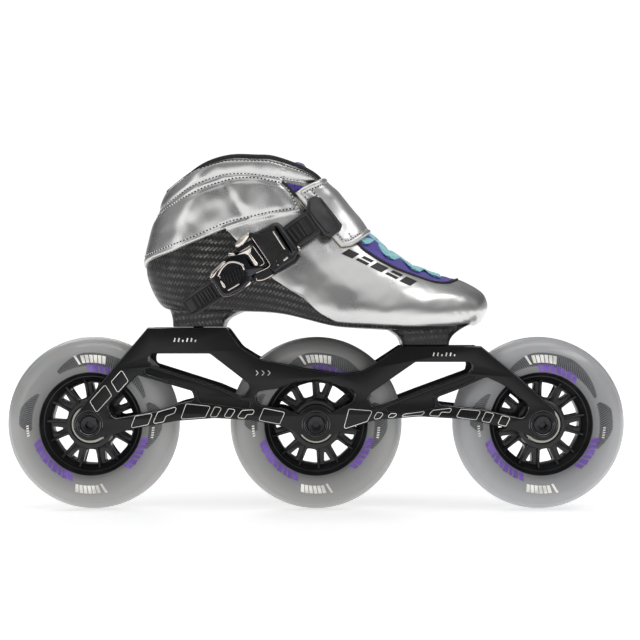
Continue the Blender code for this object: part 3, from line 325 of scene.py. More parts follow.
# a darker copy of the strap rubber: painted shade in the ladder's slots
RUBBER_RECESS_SHADE = plastic("strap_rubber_painted_shade", (0.003, 0.003, 0.003), 0.6, 900.0, 0.03)
LINING = cloth("black_lining", (0.012, 0.012, 0.014), 700.0, 0.9)
PURPLE_MESH = cloth("purple_mesh", (0.062, 0.030, 0.30), 560.0, 0.65, 1.0, 0.3, 0.35)
INSOLE_CLOTH = cloth("insole_fabric", (0.035, 0.035, 0.04), 900.0, 0.92)
RUBBER = plastic("strap_rubber", (0.014, 0.014, 0.015), 0.42, 900.0, 0.03)
BLACK_PLASTIC = plastic("buckle_plastic", (0.008, 0.008, 0.009), 0.28, 600.0, 0.012)
GUNMETAL = metal("gunmetal", (0.055, 0.055, 0.062), 0.16, scratch=0.25)
CHROME = metal("champagne_chrome", (0.80, 0.74, 0.68), 0.16, scratch=0.3)
FRAME_BLACK = metal("anodised_black", (0.008, 0.008, 0.009), 0.30, (1, 1, 6), 0.4, 0.4)
FRAME_FLAT = metal("anodised_black_face", (0.007, 0.007, 0.008), 0.36, (6, 1, 1), 0.4, 0.4)
# a lighter copy of the black anodising for the upper bevels: painted highlight
FRAME_BEVEL_HIGHLIGHT = metal("anodised_bevel_painted_highlight", (0.30, 0.30, 0.31), 0.30, (1, 1, 1), 0.4, 0.9)
BOLT_STEEL = metal("bolt_steel", (0.10, 0.10, 0.105), 0.28, scratch=0.5)
AXLE_STEEL = metal("axle_steel", (0.045, 0.045, 0.048), 0.26, scratch=0.5)
BEARING_STEEL = metal("bearing_steel", (0.40, 0.385, 0.35), 0.26, scratch=0.4)
SHIELD = metal("bearing_shield", (0.16, 0.155, 0.15), 0.34, scratch=0.6)
PRINT_WHITE = plastic("pale_print", (0.72, 0.70, 0.66), 0.5, 900.0, 0.01)
PRINT_PURPLE = plastic("purple_print", (0.15, 0.075, 0.36), 0.45, 900.0, 0.01)
PRINT_DARK = plastic("dark_print", (0.03, 0.03, 0.032), 0.45, 900.0, 0.01)


def eyestay_leather():
    m = Mat("purple_leather", (0.098, 0.070, 0.36), 0.40, 0.15, Coat_Weight=0.15, Coat_Roughness=0.35)
    cells = m.voronoi(800.0, "F1")
    cloud = m.noise(60.0, 3.0, 0.5)
    m.to(m.mix(cloud, (0.088, 0.060, 0.34), (0.155, 0.115, 0.48)), "Base Color")
    m.to(m.calc("MULTIPLY_ADD", cloud, 0.2, 0.3), "Roughness")
    m.bump(cells, 0.06, 0.6)
    return m.m


def lace_weave():
    """Flat woven lace: UV x across and y along, in millimetres, with a herringbone."""
    m = Mat("turquoise_lace", (0.27, 0.70, 0.71), 0.72, 0.0, Sheen_Weight=0.4, Sheen_Roughness=0.4)
    s = m.node("ShaderNodeSeparateXYZ", {"Vector": m.coord("UV")})
    slant = m.calc("ADD", m.calc("ABSOLUTE", s.outputs["X"]), s.outputs["Y"])
    rib = m.calc("SINE", m.calc("MULTIPLY", slant, 2 * math.pi / 0.75))
    fine = m.calc("SINE", m.calc("MULTIPLY", s.outputs["X"], 2 * math.pi / 0.5))
    h = m.calc("MULTIPLY_ADD", rib, 0.5, m.calc("MULTIPLY", fine, 0.22))
    n = m.noise(300.0, 3.0, 0.6)
    m.to(m.mix(m.calc("MULTIPLY_ADD", rib, 0.22, m.calc("MULTIPLY", n, 0.6)), (0.23, 0.63, 0.68), (0.45, 0.89, 0.93)), "Base Color")
    m.bump(h, 0.10, 0.8)
    return m.m


EYESTAY = eyestay_leather()
LACE = lace_weave()

# ---------------------------------------------------------- the last's form
# One column of the boot runs from the wrap under the foot (row 0), over the
# feather edge (row 1), up the side, to the edge of the opening (row 6).
TOE = [(153, 3, -13.0), (160.5, 4, -11.5), (165.2, 4.5, -4), (164, 4, 3),
       (159, 3, 7.8), (150.5, 1.5, 11.9), (141.5, 0, 14.2)]
HEEL = [(-17, 0, -5.5), (-24.5, 0, -1.5), (-30.5, 0, 9), (-33, 0, 20),
        (-30.8, 0, 34), (-26, 0, 48.5), (-17.8, 0, 64.5)]
OUTER_SIDE = [
    [(147, -14, -13), (154.5, -17.5, -11.5), (158, -18.5, -5), (156.5, -17, 2),
     (151.5, -13.5, 7.8), (145.5, -9.5, 11.8), (139.5, -5.3, 14.5)],
    [(134, -24.5, -13.3), (140.5, -29.5, -11.8), (142.5, -30.8, -5.5), (141.5, -28.5, 2.5),
     (138, -23, 9), (134.5, -16, 13.2), (131, -8.5, 16.3)],
    [(114, -31.5, -13.6), (119, -38, -12), (120, -39.8, -5), (119.5, -37.5, 3.5),
     (118.5, -31, 12), (117.5, -21.5, 18.5), (116.5, -10, 23.2)],
    [(95, -33.5, -12.8), (98, -40, -11.3), (98.5, -41.8, -4), (99, -39.5, 6),
     (100, -32.5, 17.5), (101, -22.5, 27), (102, -11, 33.2)],
    [(77, -30, -11.5), (78, -36.5, -10.2), (78.3, -38.5, -3), (79, -37, 9),
     (81, -31, 23.5), (84.5, -22.5, 36.5), (88, -12, 45.5)],
    [(59, -26, -9), (59, -31.8, -7.8), (59, -34, 0), (60, -33.8, 14),
     (63, -30.5, 31), (69, -24.5, 47), (75.5, -15, 60)],
    [(42, -23, -6.3), (42, -28, -5), (42, -30.2, 3), (42.5, -31.2, 18),
     (46, -31, 37), (54, -29, 56), (64, -22, 72)],
    [(25, -22.5, -5.5), (24.5, -27.5, -4), (24, -29.8, 4), (24, -31.5, 20),
     (27, -32.5, 40), (34, -33, 60), (44, -30.5, 79.2)],
    [(14, -22.3, -5.5), (13, -27.4, -4), (12.5, -29.6, 4), (12.5, -31, 20),
     (15.2, -31.8, 40), (21.5, -33, 60), (31, -32, 80.3)],
    [(2, -21.5, -5.5), (1, -26.5, -4), (-1, -28.8, 4), (-2, -30.2, 20),
     (0.5, -31, 39), (6.5, -32.3, 59), (16, -31.8, 80)],
    [(-9, -18, -5.5), (-11.5, -22.5, -3.6), (-14.5, -25.2, 5), (-16, -26.2, 20),
     (-13.5, -26.8, 37), (-7.5, -28.5, 55), (1, -29, 75)],
    [(-15, -9.5, -5.5), (-21.5, -12.5, -2.4), (-27, -14.5, 8), (-29, -15, 20),
     (-26.7, -15.2, 34.5), (-21.5, -16.5, 49.5), (-13, -17, 66)],
]
INNER_SIDE = [
    [(149, 17, -13), (156, 21.5, -11.5), (159.5, 22.5, -5), (157.5, 20.5, 2),
     (152, 16, 8), (146, 10.5, 12), (139.5, 5.3, 14.5)],
    [(136, 25.5, -13.3), (142.5, 31, -11.8), (144.5, 32.5, -5), (143.5, 30, 3),
     (139.5, 23.5, 9.5), (135.5, 16, 13.5), (131, 8.5, 16.3)],
    [(117, 30, -13.6), (121.5, 36, -12), (122.5, 38, -4.5), (121.5, 35.5, 4.5),
     (120, 29, 13), (118.5, 20, 19), (116.5, 10, 23.2)],
    [(98, 29.5, -12.8), (101, 35.5, -11.3), (101.5, 37.5, -3.5), (102, 35.5, 7),
     (102.5, 29.5, 18.5), (102.5, 21, 27.5), (102, 11, 33.2)],
    [(78, 24.5, -11), (80, 30, -9), (80.5, 32.5, -1), (81, 32.5, 11),
     (83, 28, 25), (86, 21, 37.5), (88, 12, 45.5)],
    [(60, 20.5, -8), (61, 25.5, -5.5), (61, 29, 3), (61.5, 30.5, 17),
     (64, 28.5, 33), (70, 23.5, 48), (75.5, 15, 60)],
    [(43, 20, -5.5), (43, 25, -3.5), (43, 28, 5), (43, 30, 20),
     (46.5, 30.5, 38.5), (54, 28.5, 56.5), (64, 22, 72)],
    [(25, 20.5, -5.2), (24.5, 25.5, -3.4), (24, 28.3, 5), (24, 30.5, 20),
     (27, 32, 40), (34, 32, 60), (44, 30, 79.2)],
    [(14, 21, -5.4), (13, 26, -3.8), (12.5, 28.4, 4), (12.5, 30.2, 20),
     (15.2, 31.8, 40), (21.5, 32.5, 60), (31, 31.5, 80.3)],
    [(2, 20.7, -5.5), (1, 25.7, -4), (-1, 28, 4), (-2, 29.5, 20),
     (0.5, 30.6, 39), (6.5, 31.8, 59), (16, 31.3, 80)],
    [(-9, 17.5, -5.5), (-11.5, 22, -3.6), (-14.5, 24.7, 5), (-16, 25.8, 20),
     (-13.5, 26.5, 37), (-7.5, 28, 55), (1, 28.5, 75)],
    [(-15, 9.3, -5.5), (-21.5, 12.2, -2.4), (-27, 14.2, 8), (-29, 14.8, 20),
     (-26.7, 15, 34.5), (-21.5, 16.3, 49.5), (-13, 16.7, 66)],
]
TABLE = np.array([TOE] + OUTER_SIDE + [HEEL] + INNER_SIDE[::-1], float)
NCOL = len(TABLE)  # 26 columns round the foot
HALF = NCOL // 2
# The row at which the silver leather ends over the carbon, column by column.
EDGE_SIDE = [0.55, 0.55, 0.55, 0.55, 0.7, 2.18, 2.68, 3.55, 4.03, 3.76, 3.5, 3.28]
EDGE = np.array([0.55] + EDGE_SIDE + [3.0] + EDGE_SIDE[::-1], float)
ROWS = np.concatenate(
    [2 * TABLE[:, :1] - TABLE[:, 1:2], TABLE, 2 * TABLE[:, -1:] - TABLE[:, -2:-1]], axis=1
)


def spline(p0, p1, p2, p3, t):
    return 0.5 * (
        2 * p1
        + (p2 - p0) * t
        + (2 * p0 - 5 * p1 + 4 * p2 - p3) * t * t
        + (3 * p1 - 3 * p2 + p3 - p0) * t * t * t
    )


def last(u, r):
    """Points of the boot's outer form at columns u and rows r."""
    u, r = np.broadcast_arrays(np.asarray(u, float), np.asarray(r, float))
    iu = np.floor(u).astype(int)
    fu = (u - iu)[..., None]
    ir = np.clip(np.floor(r).astype(int), 0, 5)
    fr = (r - ir)[..., None]
    cols = []
    for k in (-1, 0, 1, 2):
        c = (iu + k) % NCOL
        cols.append(spline(ROWS[c, ir], ROWS[c, ir + 1], ROWS[c, ir + 2], ROWS[c, ir + 3], fr))
    return spline(*cols, fu)


def normal(u, r):
    h = 0.02
    r0 = np.clip(r, h, 6 - h)
    a = last(np.asarray(u, float) + h, r0) - last(np.asarray(u, float) - h, r0)
    b = last(u, r0 + h) - last(u, r0 - h)
    n = np.cross(b, a)
    return n / np.linalg.norm(n, axis=-1, keepdims=True)


def skin(u, r, off=0.0):
    """The form offset outward by off."""
    return last(u, r) + normal(u, r) * np.asarray(off, float)[..., None]


def edge_row(u):
    i = int(math.floor(u))
    f = u - i
    return EDGE[i % NCOL] * (1 - f) + EDGE[(i + 1) % NCOL] * f


def on_side(x, z, side=-1):
    """The column and row of the point of one side that is seen at x, z."""
    us = np.linspace(0.05, HALF - 0.05, 120) if side < 0 else np.linspace(HALF + 0.05, NCOL - 0.05, 120)
    rs = np.linspace(0.3, 5.95, 60)
    g = last(us[:, None], rs[None, :])
    d = (g[..., 0] - x) ** 2 + (g[..., 2] - z) ** 2
    i, j = np.unravel_index(np.argmin(d), d.shape)
    u, r = us[i], rs[j]
    for _ in range(12):
        p = last(u, r)
        du = (last(u + 0.01, r) - last(u - 0.01, r)) / 0.02
        dr = (last(u, r + 0.01) - last(u, r - 0.01)) / 0.02
        a = np.array([[du[0], dr[0]], [du[2], dr[2]]])
        e = np.array([x - p[0], z - p[2]])
        if abs(np.linalg.det(a)) < 1e-6:
            break
        s = np.clip(np.linalg.solve(a, e), -0.4, 0.4)
        u, r = u + s[0], float(np.clip(r + s[1], 0.0, 6.0))
    return u, r


def side_point(x, z, off=0.0, side=-1):
    u, r = on_side(x, z, side)
    return skin(u, r, off)


def along(points, t):
    """A smooth curve through points, t from 0 to 1 by their index."""
    p = np.asarray(points, float)
    p = np.concatenate([[2 * p[0] - p[1]], p, [2 * p[-1] - p[-2]]])
    s = np.clip(np.asarray(t, float), 0, 1) * (len(p) - 3)
    i = np.clip(np.floor(s).astype(int), 0, len(p) - 4)
    f = (s - i)[..., None]
    return spline(p[i], p[i + 1], p[i + 2], p[i + 3], f)

CUP_OUT = 0.1
PLATE_OUT = 2.4
REAR_DECK_Z = -14.5
FRONT_DECK_Z = -25.0
US_OUT = np.linspace(0.02, HALF - 0.02, 300)
US_IN = np.linspace(HALF + 0.02, NCOL - 0.02, 300)
RS = np.linspace(0.05, 5.98, 150)
G_OUT = last(US_OUT[:, None], RS[None, :])
G_IN = last(US_IN[:, None], RS[None, :])


def rows_at(xz, side=-1):
    """Columns and rows (n, 2) of the points of one side that are seen at (x, z)."""
    us, g = (US_OUT, G_OUT) if side < 0 else (US_IN, G_IN)
    out = []
    for x, z in np.atleast_2d(xz):
        d = (g[..., 0] - x) ** 2 + (g[..., 2] - z) ** 2
        i, j = np.unravel_index(np.argmin(d), d.shape)
        out.append((us[i], RS[j]))
    ur = np.array(out, float)
    for _ in range(6):
        u, r = ur[:, 0], ur[:, 1]
        p = last(u, r)
        du = (last(u + 0.01, r) - last(u - 0.01, r)) / 0.02
        dr = (last(u, r + 0.01) - last(u, r - 0.01)) / 0.02
        a, b, c, d = du[:, 0], dr[:, 0], du[:, 2], dr[:, 2]
        det = a * d - b * c
        det = np.where(np.abs(det) < 8.0, np.inf, det)
        ex, ez = np.atleast_2d(xz)[:, 0] - p[:, 0], np.atleast_2d(xz)[:, 1] - p[:, 2]
        su = np.clip((d * ex - b * ez) / det, -0.05, 0.05)
        sr = np.clip((a * ez - c * ex) / det, -0.05, 0.05)
        ur = np.stack([u + su, np.clip(r + sr, 0.0, 6.0)], 1)
    return ur


def edge_rows(u):
    u = np.asarray(u, float)
    i = np.floor(u).astype(int)
    f = u - i
    return EDGE[i % NCOL] * (1 - f) + EDGE[(i + 1) % NCOL] * f


def smooth(points, n):
    return along(points, np.linspace(0, 1, n))


def evenly(ur, step):
    """Columns and rows of points every step millimetres along a line on the form."""
    ur = np.asarray(ur, float)
    f = smooth(ur, 12 * len(ur)) if len(ur) > 2 else np.linspace(ur[0], ur[-1], 40)
    p = last(f[:, 0], np.clip(f[:, 1], 0, 6))
    s = np.concatenate([[0], np.cumsum(np.linalg.norm(np.diff(p, axis=0), axis=1))])
    k = max(2, int(round(s[-1] / step)) + 1)
    t = np.linspace(0, s[-1], k)
    return np.stack([np.interp(t, s, f[:, 0]), np.interp(t, s, f[:, 1])], 1)


def signed(line, x, z):
    """Distance from a line, positive on its left."""
    line = np.asarray(line, float)
    best = np.full(np.shape(x), 1e9)
    sign = np.ones(np.shape(x))
    for k, (a, b) in enumerate(zip(line, line[1:])):
        dx, dz = b - a
        t = ((x - a[0]) * dx + (z - a[1]) * dz) / (dx * dx + dz * dz)
        lo = -1e9 if k == 0 else 0.0
        hi = 1e9 if k == len(line) - 2 else 1.0
        t = np.clip(t, lo, hi)
        d = np.hypot(x - a[0] - t * dx, z - a[1] - t * dz)
        c = dx * (z - a[1]) - dz * (x - a[0])
        near = d < best - 1e-9
        best = np.where(near, d, best)
        sign = np.where(near, np.where(c >= 0, 1.0, -1.0), sign)
    return best * sign


def span(line, x, z):
    """Distance from a line with two ends."""
    line = np.asarray(line, float)
    best = np.full(np.shape(x), 1e9)
    for a, b in zip(line, line[1:]):
        dx, dz = b - a
        t = np.clip(((x - a[0]) * dx + (z - a[1]) * dz) / (dx * dx + dz * dz), 0, 1)
        best = np.minimum(best, np.hypot(x - a[0] - t * dx, z - a[1] - t * dz))
    return best


def ease(t):
    t = np.clip(t, 0.0, 1.0)
    return t * t * (3 - 2 * t)


# ------------------------------------------------- lines seen on the leather
QUARTER = [(15.2, -60), (15.2, 40.7), (29.5, 45.3), (43.0, 48.2), (57.3, 50.8), (52.8, 61.5), (46.8, 68.0), (46.0, 90.0)]
COLLAR_UP = [(62.7, 67.2), (56.6, 68.1), (46.5, 69.3), (36.4, 70.3), (26.1, 71.3), (17.4, 71.0), (9.3, 69.3), (-2.2, 64.9), (-12.0, 59.3), (-20.7, 53.9), (-27.0, 51.2), (-32.0, 50.0)]
COLLAR_LOW = [(60.0, 64.2), (52.0, 65.6), (47.2, 66.2), (41.8, 67.3), (32.3, 68.8), (22.8, 68.8), (14.7, 67.3), (3.5, 63.5), (-9.0, 57.6), (-20.7, 51.6), (-27.0, 48.8), (-32.0, 47.6)]
THROAT = [(160.0, 12.9), (148.3, 12.9), (144.8, 11.5), (140.1, 10.1), (135.0, 10.1), (129.2, 11.2), (121.9, 13.7), (114.7, 16.3), (107.4, 19.5), (100.1, 23.5), (92.9, 28.6), (88.5, 33.0), (78.0, 42.0), (66.0, 51.5), (58.5, 57.0), (52.8, 61.5), (47.0, 67.8), (46.0, 90.0)]
CREASES = [  # points, width, height
    ([(13.5, 67.0), (17.0, 60.0), (21.0, 53.5), (26.0, 48.0)], 3.0, -0.60),
    ([(18.5, 67.5), (22.5, 61.0), (27.0, 54.0)], 4.4, 0.40),
    ([(3.0, 64.0), (-2.0, 55.5), (-8.0, 47.0), (-13.0, 40.0)], 8.0, 0.24),
    ([(9.0, 61.0), (5.0, 52.0), (-1.0, 43.0)], 4.5, -0.30),
    ([(-8.0, 55.0), (-14.0, 47.0), (-19.0, 39.0)], 6.0, -0.18),
    ([(40.0, 64.5), (44.0, 58.5), (48.5, 53.5)], 3.0, -0.40),
    ([(29.0, 64.0), (34.5, 57.0), (40.5, 52.0)], 4.5, 0.25),
    ([(-24.0, 38.0), (-14.0, 40.0), (-3.0, 44.5)], 4.0, -0.22),
    ([(47.0, 31.0), (54.0, 21.0), (62.0, 13.0)], 5.0, -0.35),
    ([(62.0, 27.0), (70.0, 17.0), (80.0, 10.0)], 6.0, 0.30),
    ([(74.0, 25.0), (84.0, 16.0), (96.0, 9.0)], 6.0, -0.25),
    ([(92.0, 22.0), (104.0, 12.0), (118.0, 6.5)], 6.0, 0.20),
    ([(60.0, 3.0), (82.0, 4.0), (104.0, 1.0), (130.0, -2.0)], 5.0, -0.30),
    ([(118.0, 9.5), (132.0, 6.0), (147.0, 4.0)], 4.0, 0.20),
    ([(70.0, 36.0), (76.0, 28.0)], 2.6, -0.35),
] + [([(143.5 + 2.3 * k, -6.6 - 0.5 * (k % 2)), (145.2 + 2.3 * k, -9.5), (145.8 + 2.4 * k, -13.0)], 0.85, (-0.15, 0.09)[k % 2]) for k in range(7)]


def ripple(p):
    """Low, uneven swells of the leather, the same on every run."""
    x, y, z = p[..., 0], p[..., 1], p[..., 2]
    h = 0.0
    for kx, ky, kz, f, a in (
        (0.23, 0.05, 0.31, 0.4, 0.13), (-0.31, 0.08, 0.22, 1.7, 0.10), (0.11, -0.12, -0.42, 2.9, 0.10),
        (0.52, 0.10, 0.18, 4.1, 0.06), (-0.28, 0.2, 0.63, 5.2, 0.055), (0.71, -0.1, -0.47, 0.9, 0.035),
        (0.95, 0.3, 0.62, 3.3, 0.02),
    ):
        h = h + 0.5 * a * np.sin(kx * x + ky * y + kz * z + f + 0.8 * np.sin(0.07 * x - 0.09 * z + f))
    return h


def rise(u, r):
    """How far the leather's face stands off the form."""
    u, r = np.broadcast_arrays(np.asarray(u, float), np.asarray(r, float))
    p = last(u, r)
    x, z = p[..., 0], p[..., 2]
    inner = np.mod(u, NCOL) > HALF
    x2 = np.where(inner, x - 3.0, x)  # the guessed inner side's folds differ a little
    h = np.full(np.shape(x), 0.75) + ripple(p)
    dq = signed(QUARTER, x, z)
    h = h + 0.75 * ease(dq / 0.9 + 0.5)
    h = h - 0.30 * np.exp(-(((dq - 2.2) / 1.2) ** 2))
    du = -signed(COLLAR_UP, x, z)
    dl = -signed(COLLAR_LOW, x, z)
    h = h + 1.25 * np.sin(np.pi * np.clip(du / 11.0, 0, 1)) ** 0.8
    h = h - 0.42 * np.exp(-((du / 0.85) ** 2)) - 0.42 * np.exp(-((dl / 0.85) ** 2))
    h = h - 0.5 * np.exp(-(((dl + 1.7) / 1.0) ** 2)) * 0.5
    for line, w, a in CREASES:
        h = h + a * np.exp(-((span(line, x2, z) / w) ** 2)) * np.where(inner, 0.8, 1.0)
    dt = -signed(THROAT, x, z)
    cut = ease(dt / 0.9 + 0.5) * (1 - ease(du / 0.8 + 0.5))
    h = h * (1 - 0.85 * cut) - 0.15 * cut
    e = edge_rows(u)
    low = ease((r - e) / 0.035)
    h = 0.80 * (1 - low) + h * low
    h = h * (1 - ease((r - 5.86) / 0.14)) + 0.35 * ease((r - 5.86) / 0.14)
    return h


def top(ur, extra=0.0):
    """Points on the leather's face, raised by extra."""
    ur = np.atleast_2d(ur)
    r = np.clip(ur[:, 1], 0, 6)
    return skin(ur[:, 0], r, rise(ur[:, 0], r) + extra)


# dark dots over the gaps between stitches: painted shade of the needle holes
HOLE_SHADE_DOTS = []


def stitch_run(ur, step=1.9, long=1.1, thick=0.60, lift=0.0, base=None, holes=True):
    """Stitches along a line on the leather, each a short thread that dips at both ends."""
    base = base or top
    line = evenly(ur, 0.25)
    k = max(1, int(round(step / 0.25)))
    n = max(2, int(round(long / 0.25)))
    bits = []
    nrm = normal(line[:, 0], line[:, 1])
    pts = base(line, lift)
    for a in range(0, len(line) - n - 1, k):
        seg = slice(a, a + n + 1)
        f = np.linspace(0, 1, n + 1)
        c = pts[seg] + nrm[seg] * ((np.sin(np.pi * f) ** 0.6) * 0.34 - 0.14)[:, None]
        bits.append(sweep(c, nrm[seg], thick, thick * 0.8, n=6, square=2.0))
        # a dark dot over each gap: painted shade in the needle hole
        if holes and a + k < len(line):
            g = slice(a + n, a + k + 1)
            if g.stop - g.start >= 2:
                HOLE_SHADE_DOTS.append(sweep(pts[g] + nrm[g] * 0.03, nrm[g], 0.80, 0.18, n=6, square=2.0))
    return bits


def both(line, step=1.0, wrap=True):
    """A side line followed round the heel to the mirrored line on the inner side, as columns and rows."""
    a = rows_at(smooth(line, 40), -1)
    a = a[a[:, 0] < HALF - 0.35]
    b = a[::-1] * [-1, 1] + [NCOL, 0]
    return np.concatenate([a, b])


# -------------------------------------------------------------------- upper
def build_upper():
    nc = 468
    us = np.linspace(0, NCOL, nc, endpoint=False)
    e = edge_rows(us)
    rings, kind = [], []

    def ring(r, off, k):
        rings.append(skin(us, np.clip(r, 0, 6), np.broadcast_to(off, us.shape)))
        kind.append(k)

    for f in np.linspace(0.0, 0.97, 12):
        ring(0.25 + (e - 0.28) * f, -2.2, 2)
    ring(e - 0.03, -0.55, 2)
    ring(e - 0.005, -0.25, 1)
    for k, (back, share) in enumerate(((0.0, 0.15), (0.0, 0.55), (0.002, 0.85), (0.010, 0.99))):
        r = e + back
        ring(r, rise(us, r) * share, 1 if k < 3 else 0)
    fs = np.concatenate([np.linspace(0.006, 0.03, 3), np.linspace(0.045, 1.0, 112)])
    for f in fs:
        r = e + f * (6 - e)
        ring(r, rise(us, r), 0)
    for a in (25, 60, 90, 120, 155):
        c, s = math.cos(math.radians(a)), math.sin(math.radians(a))
        base = skin(us, np.full(nc, 6.0), np.full(nc, -1.3) + 1.65 * c)
        up = unit(last(us, 6.0) - last(us, 5.9))
        rings.append(base + up * 1.0 * s)
        kind.append(2)
    for f in np.linspace(0.995, 0.05, 40):
        ring(np.full(nc, 6.0 * f), -LEATHER_T - 0.1 * ripple(last(us, np.full(nc, 6.0 * f))), 2)
    n = len(rings)
    verts = np.concatenate(rings)
    faces = quads(n, nc, wrap=True)
    close = np.stack([(n - 1) * nc + np.arange(nc), (n - 1) * nc + (np.arange(nc) + 1) % nc, (np.arange(nc) + 1) % nc, np.arange(nc)], -1)
    index = np.repeat([max(a, b) if 2 in (a, b) else b for a, b in zip(kind, kind[1:])], nc)
    o = make("upper_leather", verts, np.concatenate([faces, close]), [SILVER, EDGE_CREAM, LINING], slot="silver_leather",
             index=np.concatenate([index, np.full(nc, 2)]), angle=60)
    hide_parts("upper")


def build_trim():
    """Binding, stitching, the purple eyestay and its piping."""
    # black binding round the collar, over the leather's rolled edge
    u = np.linspace(6.35, NCOL - 6.35, 260)
    c = skin(u, np.full(260, 6.0), np.full(260, -1.25)) + unit(last(u, 6.0) - last(u, 5.9)) * 0.45
    n = normal(u, np.full(260, 5.98))
    f = np.linspace(0, 1, 260)
    fat = 0.55 + 0.45 * ease(f / 0.03) * ease((1 - f) / 0.03)
    make("collar_binding", *sweep(c, n, 3.3 * fat, 4.3 * fat, n=16, square=2.4), PIPING, slot="black_plastic")
    # a fold line of stitches in the binding
    bits = []
    for a, b in ((6.7, NCOL - 6.7),):
        bits += stitch_run([(a + (b - a) * t, 5.90) for t in np.linspace(0, 1, 60)], 1.9, 1.2, 0.38, 0.55)
    make("binding_stitches", *merged(bits), PIPING, slot="black_plastic")

    bits = []
    bits += stitch_run(both(COLLAR_UP[1:]), lift=0.02)
    bits += stitch_run(both(COLLAR_LOW[1:]), lift=0.02)
    quarter = [(-31.0, 26.6), (-26.9, 27.6), (-11.6, 32.8), (2.3, 38.4), (12.7, 43.0), (19.4, 45.2), (29.5, 47.6), (43.1, 50.6), (54.6, 52.2)]
    bits += stitch_run(both(quarter[::-1]), lift=0.02)
    for side in (-1, 1):
        bits += stitch_run(rows_at(smooth([(54.9, 52.6), (51.0, 61.0), (48.6, 64.6)], 20), side))
        bits += stitch_run(rows_at(smooth([(17.0, 40.0), (15.9, 39.4)], 6), side))
    make("upper_stitches", *merged(bits), THREAD, slot="silver_leather")

    # the eyestay: a purple overlay from the throat's edge down to its boundary
    for tag, side in (("lat", -1), ("med", 1)):
        line = rows_at(smooth(THROAT[2:-2][::-1] + THROAT[1:2], 120), side)[::-1]
        if side < 0:
            line[:, 0] = np.where(line[:, 0] > HALF, 0.0, line[:, 0])
        centre = 0.0 if side < 0 else float(NCOL)
        line = np.concatenate([[(centre, line[0, 1] - 0.02)], line])
        line = evenly(line, 0.8)
        m = len(line)
        edge_u = np.interp(np.linspace(0, 1, m), [0, 1], [centre, 6.55 if side < 0 else NCOL - 6.55])
        w = np.abs(line[:, 0] - centre)
        w = np.maximum.accumulate(w)
        edge_u = centre + (w if side < 0 else -w)
        edge_u = np.clip(edge_u, 0, 6.6) if side < 0 else np.clip(edge_u, NCOL - 6.6, NCOL)
        ts = np.concatenate([[0.0], np.linspace(0.02, 0.97, 16), [1.0]])
        rows = []
        for t in ts:
            uu = line[:, 0] * (1 - t) + edge_u * t
            rr = line[:, 1] * (1 - t) + 5.985 * t
            lift = 0.62 * ease(t / 0.04) * (1 - 0.75 * ease((t - 0.95) / 0.05))
            rows.append(top(np.stack([uu, rr], 1), lift))
        under = top(np.stack([line[:, 0] * 0 + edge_u, np.full(m, 5.985)], 1), -0.35)
        rows.append(under)
        verts = np.concatenate(rows)
        o = make(f"eyestay_{tag}", verts, quads(len(rows), m), EYESTAY, slot="tongue_cloth", angle=60)
        nrm = normal(line[:, 0], line[:, 1])
        make(f"throat_piping_{tag}", *sweep(top(line, 0.12), nrm, 1.9, 1.9, n=10, square=2.1), PIPING, slot="black_plastic")
        # violet stitches just inside it
        inset = line.copy()
        toward = np.stack([edge_u - line[:, 0], 5.985 - line[:, 1]], 1)
        size = np.linalg.norm(last(line[:, 0], line[:, 1]) - last(edge_u, np.full(m, 5.985)), axis=1)
        inset = line + toward * (2.1 / np.maximum(size, 2.4))[:, None]
        make(f"throat_stitches_{tag}", *merged(stitch_run(inset[6:-4], 1.25, 0.8, 0.42, 0.66)), VIOLET_THREAD, slot="tongue_cloth")
    build_gore()


def build_gore():
    """The triangle of purple mesh between the collar band and the strap, with a black edge."""
    for tag, side in (("lat", -1), ("med", 1)):
        a, b, c = (46.9, 66.9), (63.0, 64.0), (54.6, 58.9)
        rows = []
        for t in np.linspace(0, 1, 14):
            p = np.array(a) * (1 - t) + np.array(c) * t
            q = np.array(a) * (1 - t) + np.array(b) * t
            line = [p * (1 - s) + q * s for s in np.linspace(0, 1, 16)]
            rows.append(top(rows_at(line, side), 0.74))
        make(f"mesh_gore_{tag}", np.concatenate(rows), quads(14, 16), PURPLE_MESH, slot="tongue_cloth", angle=60)
        edge = evenly(rows_at(smooth([(46.6, 67.0), (50.2, 63.4), (54.0, 58.6)], 16), side), 0.6)
        make(f"gore_edge_{tag}", *sweep(top(edge, 0.35), normal(edge[:, 0], edge[:, 1]), 1.5, 1.5, n=8), PIPING, slot="black_plastic")


def build_marks():
    """Plain slanted bars on the vamp: generic, in place of lettering."""
    start, end = np.array([80.6, 28.2]), np.array([121.5, 8.0])
    axis = (end - start) / np.linalg.norm(end - start)
    up = np.array([-axis[1], axis[0]])
    for tag, side in (("lat", -1), ("med", 1)):
        bits = []
        sizes = [6.8, 7.0, 7.2, 7.0, 6.6]
        at = 0.0
        for k, w in enumerate(sizes):
            for cut0, cut1, h0, h1 in ((0.0, 1.0, 0.0, 1.6), (0.12, 1.0, 2.5, 4.2)) if k % 2 else ((0.0, 1.0, 0.0, 4.2),):
                rows = []
                for h in np.linspace(h0, h1, 5):
                    o = start + axis * (at + 0.62 * h) + up * (h - 1.7)
                    rows.append([o + axis * (w * f) for f in np.linspace(cut0, cut1, 12)])
                pts = [top(rows_at(row, side), 0.10) for row in rows]
                v = np.concatenate(pts)
                bits.append((v, quads(5, 12)))
            at += w + 1.9
        make(f"vamp_bars_{tag}", *merged(bits), INK, slot="black_plastic")


# ------------------------------------------------------------- carbon shell
def plate_outs(u):
    x = last(u, 1.0)[..., 0]
    t = ease((x - 48.0) / 34.0) * (1 - 0.92 * ease((x - 144.0) / 16.0))
    return -CUP_OUT + t * (PLATE_OUT + CUP_OUT)


